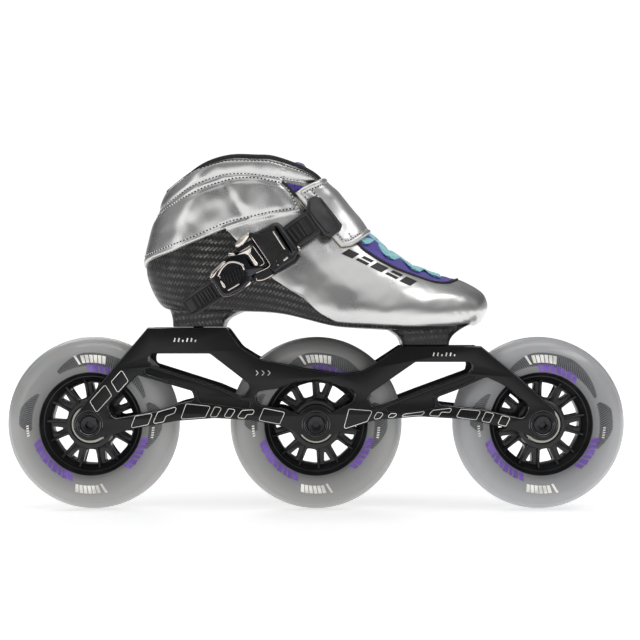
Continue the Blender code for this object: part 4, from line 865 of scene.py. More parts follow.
def build_shell():
    nc = 312
    us = np.linspace(0, NCOL, nc, endpoint=False)
    rim = edge_rows(us) + 0.06
    po = plate_outs(us)
    fs = [1.0] + list(np.linspace(0.985, 0.0, 40))
    rings = []
    for k, f in enumerate(fs):
        rings.append(skin(us, rim * f, po * ease(1 if k else 0.0) - (0.0 if k else 0.6)))
    verts = [p for r in rings for p in r]
    n = len(rings)
    faces = quads(n, nc, wrap=True).tolist()
    # arc lengths for the weave
    mid = last(us, 2.0)
    s = np.concatenate([[0], np.cumsum(np.linalg.norm(np.diff(np.concatenate([mid, mid[:1]]), axis=0), axis=1))])
    dense = np.linspace(0, 6, 121)
    col = last(us[:, None], dense[None, :])
    length = np.concatenate([np.zeros((nc, 1)), np.cumsum(np.linalg.norm(np.diff(col, axis=1), axis=2), axis=1)], axis=1)
    tall = np.array([[np.interp(rim[j] * f, dense, length[j]) - np.interp(1.0, dense, length[j]) for j in range(nc)] for f in fs])
    uv = []
    for q in faces:
        row = []
        for v in q:
            i, j = divmod(v, nc)
            row.append((s[j], tall[i][j]))
        if q[0] % nc == nc - 1:
            for k in (1, 2):
                row[k] = (s[nc], row[k][1])
        uv += row
    # the underside, arched between the two sides
    first = (n - 1) * nc
    half = nc // 2
    parts = 14
    across = []
    for j in range(1, half):
        a, b = verts[first + j], verts[first + nc - j]
        row = [first + j]
        for k in range(1, parts):
            f = k / parts
            p = a * (1 - f) + b * f
            p = p + np.array([0, 0, 0.6 * math.sin(math.pi * f)])
            verts.append(p)
            row.append(len(verts) - 1)
        row.append(first + nc - j)
        across.append(row)
    low = []
    for r0, r1 in zip(across, across[1:]):
        low += [(r0[k], r0[k + 1], r1[k + 1], r1[k]) for k in range(parts)]
    low += [(first, across[0][k + 1], across[0][k]) for k in range(parts)]
    low += [(first + half, across[-1][k], across[-1][k + 1]) for k in range(parts)]
    for q in low:
        uv += [(verts[v][0], verts[v][1]) for v in q]
    o = make("carbon_cup", verts, faces + low, CARBON, slot="carbon", uv=uv, angle=50, outward=False)
    me = o.data
    bm = bmesh.new()
    bm.from_mesh(me)
    bmesh.ops.recalc_face_normals(bm, faces=bm.faces)
    bm.to_mesh(me)
    bm.free()
    me.set_sharp_from_angle(angle=math.radians(50))
    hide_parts("carbon_shell")

    # mounting blocks, flaring into the sole
    def block(name, z0, z1, low, high, power, back):
        steps, n = 14, 48
        rows, uvs = [], []
        for k in range(steps + 1):
            f = k / steps
            g = f ** power
            x0, x1, y0, y1 = (a * (1 - g) + b * g for a, b in zip(low, high))
            z = z0 + (z1 - z0) * f
            ra, rb = 4.0 + 2.0 * f, 4.0 + back * g
            ring = []
            for r, cx, cy, a0 in ((ra, x1 - ra, y1 - ra, 0), (rb, x0 + rb, y1 - rb, 90), (rb, x0 + rb, y0 + rb, 180), (ra, x1 - ra, y0 + ra, 270)):
                for a in np.linspace(a0, a0 + 90, n // 4, endpoint=False):
                    ring.append((cx + r * math.cos(math.radians(a)), cy + r * math.sin(math.radians(a)), z))
            rows.append(np.array(ring))
        bottom = rows[0].copy()
        bottom[:, 0] = bottom[:, 0].mean() + (bottom[:, 0] - bottom[:, 0].mean()) * 0.97
        bottom[:, 1] *= 0.96
        rows[0] = rows[0] + [0, 0, 0.5]
        rows.insert(0, bottom)
        v = np.concatenate(rows)
        m = len(rows)
        f = quads(m, n, wrap=True).tolist()
        f += [tuple(range(n))[::-1], tuple(range((m - 1) * n, m * n))]
        arc_len = np.concatenate([[0], np.cumsum(np.linalg.norm(np.diff(np.concatenate([rows[6], rows[6][:1]]), axis=0), axis=1))])
        for q in f:
            for i in q:
                a, b = divmod(i, n)
                s = arc_len[n] if (q[0] % n == n - 1 and len(q) == 4 and b == 0) else arc_len[b]
                uvs.append((s, v[i][2]) if len(q) == 4 else (v[i][0], v[i][1]))
        return make(name, v, f, CARBON, slot="carbon", uv=uvs, angle=40, outward=False)

    block("mount_block_rear", REAR_DECK_Z + 0.3, -3.2, (-16.3, 12.9, -16, 16), (-19.6, 30.0, -22.0, 21.0), 2.4, 13.5)
    block("mount_block_front", FRONT_DECK_Z + 0.3, -13.0, (115.0, 142.0, -16.5, 16.5), (101.0, 152.5, -25.0, 24.5), 2.2, 6.0)


# ------------------------------------------------------------------- insole
def build_insole():
    us = np.linspace(0, NCOL, 156, endpoint=False)
    n = len(us)
    lift = LEATHER_T + 0.4
    rows = []
    foot = last(us, np.zeros(n))
    rim = skin(us, np.full(n, 0.62), np.full(n, -lift))
    flat = skin(us, np.zeros(n), np.full(n, -lift))
    z0 = foot[:, 2] + LEATHER_T + 2.5
    rows = [rim + [0, 0, -1.2], rim + [0, 0, 0.8]]
    for f in (0.25, 0.5, 0.75, 1.0):
        p = (rim + [0, 0, 0.8]) * (1 - f) + np.column_stack([flat[:, :2], z0]) * f
        p[:, 2] -= 0.8 * math.sin(math.pi * f)
        rows.append(p)
    verts = [p for r in rows for p in r]
    faces = quads(len(rows), n, wrap=True).tolist()
    first, half, parts = (len(rows) - 1) * n, n // 2, 10
    across = []
    for j in range(1, half):
        a, b = verts[first + j], verts[first + n - j]
        row = [first + j]
        for k in range(1, parts):
            verts.append(a * (1 - k / parts) + b * (k / parts))
            row.append(len(verts) - 1)
        row.append(first + n - j)
        across.append(row)
    for r0, r1 in zip(across, across[1:]):
        faces += [(r0[k], r0[k + 1], r1[k + 1], r1[k]) for k in range(parts)]
    faces += [(first, across[0][k + 1], across[0][k]) for k in range(parts)]
    faces += [(first + half, across[-1][k], across[-1][k + 1]) for k in range(parts)]
    o = make("insole_bed", verts, faces, INSOLE_CLOTH, slot="insole_cloth", angle=60)
    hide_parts("insole")


# ------------------------------------------------------------------- tongue
TONGUE = [
    (143.5, 8.6, 5.0, 0.6), (139, 10.2, 7.5, 1.0), (130, 13.4, 11, 2.8), (116, 20.4, 14.5, 5.4), (102, 30.6, 15, 7.0),
    (89, 42.8, 15.5, 8.6), (77, 56.4, 16, 9.0), (68, 67.3, 17, 8.0), (60, 77.5, 17.5, 5.4), (56, 82.6, 13, 3.0),
]


def build_tongue():
    pts = np.array(TONGUE, float)
    st = smooth(pts, 110)
    tan = unit(np.gradient(st[:, :2], axis=0))
    n2 = np.stack([-tan[:, 1], tan[:, 0]], 1)
    n2 = np.where(n2[:, 1:] < 0, -n2, n2)
    k = 40
    loops = []
    end = np.minimum(np.arange(110), np.arange(110)[::-1]) / 6.0
    puff = np.sqrt(np.clip(end, 0.02, 1))
    for i in range(110):
        x, z, w, d = st[i]
        ring = []
        for j in range(k):
            a = 2 * math.pi * j / k
            t = math.copysign(abs(math.cos(a)) ** 0.8, math.cos(a))
            s = math.copysign(abs(math.sin(a)) ** 0.9, math.sin(a))
            quilt = 1.0 + 0.10 * math.cos(3 * math.pi * t) * (1 if s > 0 else 0)
            h = 2.3 * s * quilt * puff[i]
            drop = d * t * t
            off = -drop - 1.6 + h
            ring.append((x + n2[i, 0] * off, w * t * (0.86 + 0.14 * puff[i]), z + n2[i, 1] * off))
        loops.append(ring)
    v = np.array(loops).reshape(-1, 3)
    f = quads(110, k, wrap=True).tolist() + [tuple(range(k))[::-1], tuple(range(109 * k, 110 * k))]
    o = make("tongue_pad", v, f, PURPLE_MESH, slot="tongue_cloth", angle=60)
    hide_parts("tongue")
    # bound edge
    side = []
    for s in (-1, 1):
        idx = range(4, 97)
        side.append([(st[i, 0] - n2[i, 0] * (st[i, 3] + 1.6), s * st[i, 2] * 0.985, st[i, 1] - n2[i, 1] * (st[i, 3] + 1.6)) for i in idx])
    bits = [sweep(smooth(row, 160), (0, 0.01, 1), 2.0, 2.0, n=8, square=2.0) for row in side]
    make("tongue_binding", *merged(bits), PIPING, slot="black_plastic")


# -------------------------------------------------------------------- laces
RIDGE = [(141, 14.6), (131.5, 17.6), (120.4, 22.9), (108.5, 31.0), (97.8, 40.2), (86.1, 53.3), (78.7, 62.2), (70.3, 71.9)]
EYELETS = [(92.0, 33.6), (106.3, 25.2), (121.0, 17.6), (133.4, 14.0)]
LACE_W, LACE_T = 7.2, 1.15


def ridge_z(x):
    xs, zs = zip(*sorted(RIDGE))
    return float(np.interp(x, xs, zs))


def lace_run(a, b, side_a, side_b, lift_mid, tuck_a=False, tuck_b=False):
    """One run between two eyelets, over the ridge: centres and ups."""
    (ua, ra), (ub, rb) = rows_at([a], side_a)[0], rows_at([b], side_b)[0]
    na, nb = normal(ua, ra), normal(ub, rb)
    low = 0.7

    def face(u, r, n, tuck):
        base = top([(u, r)])[0]
        return base + n * (-0.2 if tuck else 0.62 + 0.9)

    pa, pb = face(ua, ra, na, tuck_a), face(ub, rb, nb, tuck_b)
    ha, hb = top([(ua, ra)])[0] - na * 0.6, top([(ub, rb)])[0] - nb * 0.6
    ea, eb = top([(ua, min(5.9, ra + 0.2))])[0], top([(ub, min(5.9, rb + 0.2))])[0]
    x = (a[0] + b[0]) / 2
    mid = np.array([x, 0.0, ridge_z(x) - 0.55 + lift_mid])
    t0, t1 = unit(mid - pa), unit(mid - pb)
    pts = [ha, pa - t0 * 0.6, pa + t0 * 2.0, pa * 0.45 + mid * 0.55 + (na + nb) * 0.5, mid, pb * 0.45 + mid * 0.55 + (na + nb) * 0.5, pb + t1 * 2.0, pb - t1 * 0.6, hb]
    c = smooth(pts, 44)
    f = np.linspace(0, 1, 44)[:, None]
    nm = unit(na + nb)
    w = np.sin(np.pi * f)
    up = unit(na * (1 - f) + nb * f + nm * w * 0.15)
    return c, up


def build_laces():
    runs = [
        (EYELETS[3], EYELETS[3], -1, 1, 0.0),
        (EYELETS[2], EYELETS[3], 1, -1, -1.0),
        (EYELETS[2], EYELETS[3], -1, 1, 0.25),
        (EYELETS[1], EYELETS[2], 1, -1, -1.0),
        (EYELETS[1], EYELETS[2], -1, 1, 0.25),
        (EYELETS[0], EYELETS[1], 1, -1, -1.0),
        (EYELETS[0], EYELETS[1], -1, 1, 0.25),
    ]
    bits, uvs, done = [], [], 0
    for a, b, sa, sb, lift in runs:
        c, up = lace_run(a, b, sa, sb, lift)
        f = np.linspace(0, 1, len(c))
        w = LACE_W * (0.46 + 0.54 * ease(f / 0.20) * ease((1 - f) / 0.20)) * (1 + 0.05 * np.sin(9 * f + a[0]))
        twist = 0.16 * np.sin(6 * f + a[0])
        tan = unit(np.gradient(c, axis=0))
        up = unit(up + np.cross(tan, up) * twist[:, None])
        n = 14
        v, fc = sweep(c, up, w, LACE_T, n=n, square=3.0)
        s = np.concatenate([[0], np.cumsum(np.linalg.norm(np.diff(c, axis=0), axis=1))])
        ang = 2 * np.pi * (np.arange(n) + 0.5) / n
        for q in fc:
            for i in q:
                uvs.append((math.cos(ang[i % n]) * LACE_W / 2, s[i // n]))
        bits.append((v, fc))
    o = make("lace_runs", *merged(bits), LACE, slot="lace", uv=uvs, angle=70, outward=False)
    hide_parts("lace_bar_1", "lace_bar_2", "lace_bar_3", "lace_bar_4")
    # eyelets: rolled rings on both sides
    bits = []
    for side in (-1, 1):
        for x, z in EYELETS:
            u, r = rows_at([(x, z)], side)[0]
            n = normal(u, r)
            p = top([(u, r)])[0] + n * 0.72
            e1 = unit(np.cross(n, [0, 1, 0.2]))
            e2 = np.cross(n, e1)
            a = np.linspace(0, 2 * np.pi, 24, endpoint=False)
            ring = p + 2.2 * (np.cos(a)[:, None] * e1 + np.sin(a)[:, None] * e2)
            bits.append(sweep(ring, n, 1.1, 0.8, n=8, square=2.0, closed=True))
    make("eyelets", *merged(bits), EYELET_RING, slot="tongue_cloth")


# -------------------------------------------------------------- instep strap
STRAP_T, STRAP_LIFT = 1.8, 1.3
STRAP_LINES = [
    [(79.5, 30), (86, 31.2), (92.3, 35.4), (97.6, 40.6), (92.3, 35.4), (87, 27), (82, 14)],
    [(53.5, 60.5), (58.5, 64.5), (66, 68.6), (70.5, 72.0), (66, 68.6), (58, 60), (50, 38)],
]


def strap_line(b, off, steps):
    lo, hi = (np.array(x, float) for x in STRAP_LINES)
    line = lo * (1 - b) + hi * b
    pts = []
    for k, (x, z) in enumerate(line):
        if k == 3:
            t = unit(hi[3] - lo[3])
            n = np.array([-t[1], t[0]])
            n = n if n[1] > 0 else -n
            c = np.array([x, z]) + n * (off - STRAP_T - STRAP_LIFT)
            pts.append(np.array([c[0], 0.0, c[1]]))
        else:
            extra = 0.5 if k in (2, 4) else 0.0
            u, r = rows_at([(x, z)], -1 if k < 3 else 1)[0]
            pts.append(skin(u, r, off + extra))
    return smooth(pts, steps)


def build_strap():
    nb, ns = 64, 150
    bs = np.linspace(0, 1, nb)
    base = np.array([strap_line(b, STRAP_LIFT + 0.1, ns) for b in bs])
    du = np.gradient(base, axis=0)
    dv = np.gradient(base, axis=1)
    n = unit(np.cross(du, dv))
    out = np.sign(np.sum(n * (base - base.mean(axis=(0, 1)) + [0, 0, -30.0]), axis=2, keepdims=True))
    flip = 1.0 if np.sum(n[:, : ns // 4] * [0, -1, 0]) > 0 else -1.0
    n = n * flip
    width = np.linalg.norm(base[-1] - base[0], axis=1)
    s = np.concatenate([[0], np.cumsum(np.linalg.norm(np.diff(base[nb // 2], axis=0), axis=1))])
    total = s[-1]
    bb = bs[:, None] * width[None, :]
    edge = np.minimum(bb, width[None, :] - bb)
    ends = np.minimum(s, total - s)[None, :]
    d = np.minimum(edge, ends + 0 * edge)
    # a bound rim, a stitched groove, a soft middle
    h = 1.9 + 0.55 * np.exp(-(((d - 1.3) / 0.9) ** 2)) - 0.45 * np.exp(-(((d - 3.0) / 0.55) ** 2)) + 0.9 * ease((d - 3.2) / 9.0)
    p = base
    h = h + 0.35 * ripple(p) + 0.2 * np.sin(0.22 * bb + 1.0) * ease(d / 8)
    for line, w, a in (([(84.0, 33.0), (80.0, 44.0), (74.0, 56.0)], 3.4, -0.30), ([(90.0, 38.0), (82.0, 50.0), (73.0, 62.0)], 4.5, 0.25), ([(58.0, 60.0), (63.0, 55.0)], 2.0, -0.3)):
        h = h + a * np.exp(-((span(line, p[..., 0], p[..., 2]) / w) ** 2))
    h = h * np.clip(0.72 + 0.28 * ease(d / 0.9), 0, 1)
    face = base + n * h[..., None]
    back = base.copy()
    verts = np.concatenate([face.reshape(-1, 3), back.reshape(-1, 3)])
    q = quads(nb, ns)
    o = nb * ns
    faces = q.tolist() + (q[:, ::-1] + o).tolist()
    rim = [(i * ns, i * ns) for i in range(nb)]
    border = [j for j in range(ns)] + [i * ns + ns - 1 for i in range(1, nb)] + [(nb - 1) * ns + j for j in range(ns - 2, -1, -1)] + [i * ns for i in range(nb - 2, 0, -1)]
    side = []
    for a, b in zip(border, border[1:] + border[:1]):
        side.append((a, b, o + b, o + a))
    index = [0] * len(faces) + [1] * len(side)
    piece = make("instep_strap_leather", verts, faces + side, [STRAP, EDGE_CREAM], slot="silver_leather", index=index, angle=60)
    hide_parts("instep_strap")

    # stitches in the groove, all round
    def at(fb, j):
        i = np.clip(fb * (nb - 1), 0, nb - 1.001)
        i0 = int(i)
        return (face[i0, j] * (1 - (i - i0)) + face[min(i0 + 1, nb - 1), j] * (i - i0)), n[i0, j]

    bits = []

    def run(points):
        c = np.array([a for a, _ in points])
        nn = np.array([b for _, b in points])
        s = np.concatenate([[0], np.cumsum(np.linalg.norm(np.diff(c, axis=0), axis=1))])
        g = np.arange(0, s[-1], 0.25)
        c = np.stack([np.interp(g, s, c[:, k]) for k in range(3)], 1)
        nn = unit(np.stack([np.interp(g, s, nn[:, k]) for k in range(3)], 1))
        for a in range(0, len(c) - 8, 7):
            seg = slice(a, a + 5)
            f = np.linspace(0, 1, 5)
            bits.append(sweep(c[seg] + nn[seg] * ((np.sin(np.pi * f) ** 0.6) * 0.34 - 0.1)[:, None], nn[seg], 0.60, 0.42, n=6, square=2.0))
            # a dark dot over each gap: painted shade in the needle hole
            if a + 8 < len(c):
                g = slice(a + 4, a + 8)
                HOLE_SHADE_DOTS.append(sweep(c[g] + nn[g] * 0.12, nn[g], 0.85, 0.22, n=6, square=2.0))

    j0 = int(np.searchsorted(s, 3.0))
    j1 = int(np.searchsorted(s, total - 3.0))
    run([at(3.0 / width[j], j) for j in range(j0, j1)])
    run([at(1 - 3.0 / width[j], j) for j in range(j0, j1)])
    for j in (j0, j1):
        run([at(f, j) for f in np.linspace(3.0 / width[j], 1 - 3.0 / width[j], 60)])
    # the second row across, by the cap
    j = int(np.searchsorted(s, 9.0))
    run([at(f, j) for f in np.linspace(3.0 / width[j], 0.16, 20)])
    run([at(f, j) for f in np.linspace(0.80, 1 - 3.0 / width[j], 20)])
    make("strap_stitches", *merged(bits), THREAD, slot="silver_leather")


# ------------------------------------------------------- flat shapes, lofts
def area(poly):
    p = np.asarray(poly, float)
    return 0.5 * np.sum(p[:, 0] * np.roll(p[:, 1], -1) - np.roll(p[:, 0], -1) * p[:, 1])


def inset(poly, d):
    """The outline moved inward by d."""
    p = np.asarray(poly, float)
    a = unit(p - np.roll(p, 1, 0))
    b = unit(np.roll(p, -1, 0) - p)
    s = 1.0 if area(p) > 0 else -1.0
    na = np.stack([-a[:, 1], a[:, 0]], 1) * s
    nb = np.stack([-b[:, 1], b[:, 0]], 1) * s
    m = unit(na + nb)
    k = np.clip(np.sum(m * na, axis=1), 0.55, 1.0)
    return p + m * (d / k)[:, None]


def rounded(corners, degrees=12):
    """An outline from corners (x, z, radius), each turned by an arc."""
    out = []
    n = len(corners)
    for i in range(n):
        x, z, r = corners[i]
        p = Vector((x, z))
        if r <= 0:
            out.append((x, z))
            continue
        a = Vector(corners[i - 1][:2]) - p
        b = Vector(corners[(i + 1) % n][:2]) - p
        la, lb = a.length, b.length
        a.normalize()
        b.normalize()
        half = a.angle(b) / 2
        if half > math.radians(88.5):
            out.append((x, z))
            continue
        d = min(r / math.tan(half), 0.48 * min(la, lb))
        r2 = d * math.tan(half)
        c = p + (a + b).normalized() * (r2 / math.sin(half))
        s, e = p + a * d - c, p + b * d - c
        turn = s.angle(e)
        cross = s.x * e.y - s.y * e.x
        k = max(1, int(round(math.degrees(turn) / degrees)))
        for j in range(k + 1):
            q = Matrix.Rotation(turn * j / k * (1 if cross > 0 else -1), 2) @ s + c
            out.append((q.x, q.y))
    return out


def arc(cx, cz, r, a0, a1, steps):
    return [(cx + r * math.cos(math.radians(a0 + (a1 - a0) * i / steps)), cz + r * math.sin(math.radians(a0 + (a1 - a0) * i / steps)), 0) for i in range(steps + 1)]


def circle(cx, cz, r, n):
    turn = 0.2 + 0.0013 * cx
    return [(cx + r * math.cos(2 * math.pi * (i + turn) / n), cz + r * math.sin(2 * math.pi * (i + turn) / n)) for i in range(n)]


def slab(poly, levels, base=-32.2):
    """Points and faces of a moulded slab on an outline (x, z): levels are (height outward, inset)."""
    rows = []
    for h, i in levels:
        q = inset(poly, i) if i else np.asarray(poly, float)
        rows.append(np.stack([q[:, 0], np.full(len(q), base - h), q[:, 1]], 1))
    n = len(poly)
    v = np.concatenate(rows)
    f = quads(len(rows), n, wrap=True).tolist()
    f += [tuple(range(n))[::-1], tuple(range((len(rows) - 1) * n, len(rows) * n))]
    return v, f


def plate(rings, y0, y1, bevel, res=2):
    """A flat plate with bevelled edges, from outlines in XZ: the first is its rim, the rest are holes."""
    cu = bpy.data.curves.new("tmp", "CURVE")
    cu.dimensions = "2D"
    cu.fill_mode = "BOTH"
    cu.extrude = abs(y1 - y0) / 2 - bevel
    cu.bevel_depth = bevel
    cu.bevel_resolution = res
    cu.offset = -bevel
    for k, ring in enumerate(rings):
        ring = [p[:2] for p in ring]
        if (area(ring) > 0) != (k == 0):
            ring = ring[::-1]
        s = cu.splines.new("POLY")
        s.points.add(len(ring) - 1)
        for p, (x, z) in zip(s.points, ring):
            p.co = (x, z, 0, 1)
        s.use_cyclic_u = True
    tmp = bpy.data.objects.new("tmp_curve", cu)
    SCENE.collection.objects.link(tmp)
    tmp.rotation_euler = (math.radians(90), 0, 0)
    tmp.location = (0, (y0 + y1) / 2, 0)
    bpy.context.view_layer.update()
    deps = bpy.context.evaluated_depsgraph_get()
    me = bpy.data.meshes.new_from_object(tmp.evaluated_get(deps))
    me.transform(tmp.matrix_world)
    bpy.data.objects.remove(tmp, do_unlink=True)
    bpy.data.curves.remove(cu)
    bm = bmesh.new()
    bm.from_mesh(me)
    bmesh.ops.remove_doubles(bm, verts=bm.verts, dist=0.002)
    bm.to_mesh(me)
    bm.free()
    v = np.zeros(len(me.vertices) * 3)
    me.vertices.foreach_get("co", v)
    f = [tuple(p.vertices) for p in me.polygons]
    bpy.data.meshes.remove(me)
    return v.reshape(-1, 3), f


def block(x0, x1, y0, y1, z0, z1, b=0.5):
    """A box with bevelled edges."""
    bm = bmesh.new()
    bmesh.ops.create_cube(bm, size=1.0)
    bmesh.ops.scale(bm, verts=bm.verts, vec=(x1 - x0, y1 - y0, z1 - z0))
    bmesh.ops.translate(bm, verts=bm.verts, vec=((x0 + x1) / 2, (y0 + y1) / 2, (z0 + z1) / 2))
    bmesh.ops.bevel(bm, geom=list(bm.edges), offset=b, segments=2, profile=0.5, affect="EDGES")
    bm.verts.ensure_lookup_table()
    v = np.array([p.co[:] for p in bm.verts])
    f = [tuple(p.index for p in q.verts) for q in bm.faces]
    bm.free()
    return v, f


def lathe(profile, x, steps=128, z=AXLE_Z, loop=True):
    """A profile of (radius, y) turned round the wheel's axle."""
    p = np.asarray(profile, float)
    a = 2 * np.pi * np.arange(steps) / steps
    v = np.stack([x + p[:, 0][:, None] * np.cos(a), np.broadcast_to(p[:, 1][:, None], (len(p), steps)), z + p[:, 0][:, None] * np.sin(a)], -1)
    n = len(p)
    f = quads(n, steps, wrap=True).tolist()
    if loop:
        j = np.arange(steps)
        f += np.stack([(n - 1) * steps + j, (n - 1) * steps + (j + 1) % steps, (j + 1) % steps, j], -1).tolist()
    return v.reshape(-1, 3), f


# ------------------------------------------------- cap, ladder strap, buckle
def sk(*pts):
    """Points of the buckle's sketch, drawn at 16.6 units to the millimetre, as (x, z) in millimetres."""
    return [(a / 16.6 - 12.56, 64.8 - b / 16.6) for a, b in pts]


def soft(pts, r):
    return rounded([(x, z, r) for x, z in sk(*pts)], 15)


def strap_tops(pts, off):
    ur = rows_at(pts, -1)
    p, n = last(ur[:, 0], ur[:, 1]), normal(ur[:, 0], ur[:, 1])
    pts = np.asarray(pts, float)
    return np.stack([pts[:, 0], p[:, 1] - off / np.maximum(np.abs(n[:, 1]), 0.6), pts[:, 1]], 1)


def build_cap():
    seen = soft([(1218, 150), (1240, 118), (1290, 92), (1350, 108), (1545, 355), (1532, 405), (1445, 475), (1385, 468), (1285, 350), (1218, 240)], 1.0)
    ys = strap_tops(seen, 0.0)[:, 1]
    fit = np.linalg.lstsq(np.column_stack([np.asarray(seen), np.ones(len(seen))]), ys, rcond=None)[0]

    def face(poly, off):
        q = np.asarray(poly, float)
        return np.stack([q[:, 0], q @ fit[:2] + fit[2] - off, q[:, 1]], 1)

    def moulded(poly, levels):
        rows = [face(inset(poly, i) if i else poly, h) for h, i in levels]
        n = len(poly)
        return np.concatenate(rows), quads(len(rows), n, wrap=True).tolist() + [tuple(range(n))[::-1], tuple(range((len(rows) - 1) * n, len(rows) * n))]

    bits = [moulded(seen, [(3.0, 0.0), (6.2, 0.0), (6.9, 0.25), (7.3, 0.7)])]
    left = soft([(1240, 160), (1262, 130), (1300, 112), (1322, 118), (1500, 360), (1492, 395), (1432, 440), (1400, 432), (1300, 312), (1240, 232)], 0.8)
    bits.append(moulded(left, [(7.0, 0.0), (7.7, 0.0), (8.1, 0.45)]))
    # the upper right facet in the lighter plastic: a painted highlight along that edge
    right = soft([(1338, 118), (1352, 126), (1530, 360), (1522, 392), (1512, 388), (1510, 362)], 0.4)
    make("cap_facet_painted_highlight", *moulded(right, [(6.6, 0.0), (7.45, 0.0), (7.65, 0.2)]), CAP_HIGHLIGHT_PLASTIC, slot="black_plastic", angle=32)
    neck = soft([(1196, 262), (1262, 222), (1392, 400), (1330, 446)], 0.6)
    bits.append(moulded(neck, [(3.4, 0.0), (5.9, 0.0), (6.3, 0.35)]))
    o = make("cap_moulding", *merged(bits), RUBBER, slot="black_plastic", angle=32)
    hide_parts("strap_cap")


LADDER = [(64.3, -33.9, 44.2), (56, -35.2, 38.8), (48, -35.9, 32.6), (38, -36.2, 25.6), (28, -36.2, 18.6), (18, -35.8, 11.6), (7, -35.0, 4.4), (-3.7, -34.2, -2.4), (-6.2, -34.0, -4.0)]


def build_ladder():
    n = 150
    c = smooth(LADDER, n)
    tan = unit(np.gradient(c, axis=0))
    out = unit(np.array([0, -1.0, 0]) - tan * (tan @ [0, -1.0, 0])[:, None])
    side = np.cross(out, tan)
    s = np.concatenate([[0], np.cumsum(np.linalg.norm(np.diff(c, axis=0), axis=1))])
    w = np.interp(s, [0, 22, s[-1]], [14.2, 14.2, 12.0])
    end = 1 - (1 - np.clip((s[-1] - s) / 2.4, 0, 1)) ** 2
    w = w * (0.72 + 0.28 * np.sqrt(np.clip(end, 0, 1)))
    base = [sweep(c, out, w, 1.7, n=12, square=7.0)]
    # the recess floor between the rails is the darker copy: painted shade between the ribs
    floor = c + out * 0.82
    bits, recess_shade = [], [sweep(floor[3:-3], out[3:-3], (w - 2.6)[3:-3], 0.12, n=6, square=8.0)]
    for k in (-1, 1):
        rail = c + side * (k * (w / 2 - 1.15))[:, None] + out * 0.95
        bits.append(sweep(rail[2:-2], out[2:-2], 1.7, 1.1, n=8, square=4.0))

    def rib(at, wide, tall, across):
        i = int(np.argmin(np.abs(s - at)))
        a = np.linspace(-1, 1, 5)
        line = c[i] + side[i] * (a * (w[i] / 2 - across))[:, None] + out[i] * (0.85 + tall / 2)
        up = np.broadcast_to(out[i], (5, 3))
        bits.append(sweep(line, up, wide, tall, n=8, square=4.0))

    for k in range(5):
        rib(8.8 + 2.75 * k, 1.3, 1.0, 3.0)
    rib(5.4, 3.6, 0.8, 2.4)
    for at in np.arange(47.0, 63.0, 1.9):
        rib(at, 1.0, 1.0, 2.6)
    for at in np.arange(s[-1] - 21.5, s[-1] - 6.6, 1.9):
        rib(at, 1.0, 1.0, 2.6)
    rib(s[-1] - 3.4, 4.4, 0.7, 2.6)
    o = make("ladder_moulding", *merged(base + bits), RUBBER, slot="black_plastic", angle=35)
    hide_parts("ladder_strap")
    make("ladder_recess_painted_shade", *merged(recess_shade), RUBBER_RECESS_SHADE, slot="black_plastic", angle=35)


def line_of(pts, h, wide, tall, steps=40, base=-32.2):
    """A raised bead along a sketched line."""
    p = smooth(sk(*pts), steps)
    c = np.stack([p[:, 0], np.full(len(p), base - h), p[:, 1]], 1)
    f = np.linspace(0, 1, steps)
    fat = 0.35 + 0.65 * np.sqrt(np.clip(np.minimum(f, 1 - f) / 0.08, 0, 1))
    return sweep(c, (0, -1, 0), wide * fat, tall * fat, n=8, square=2.2)


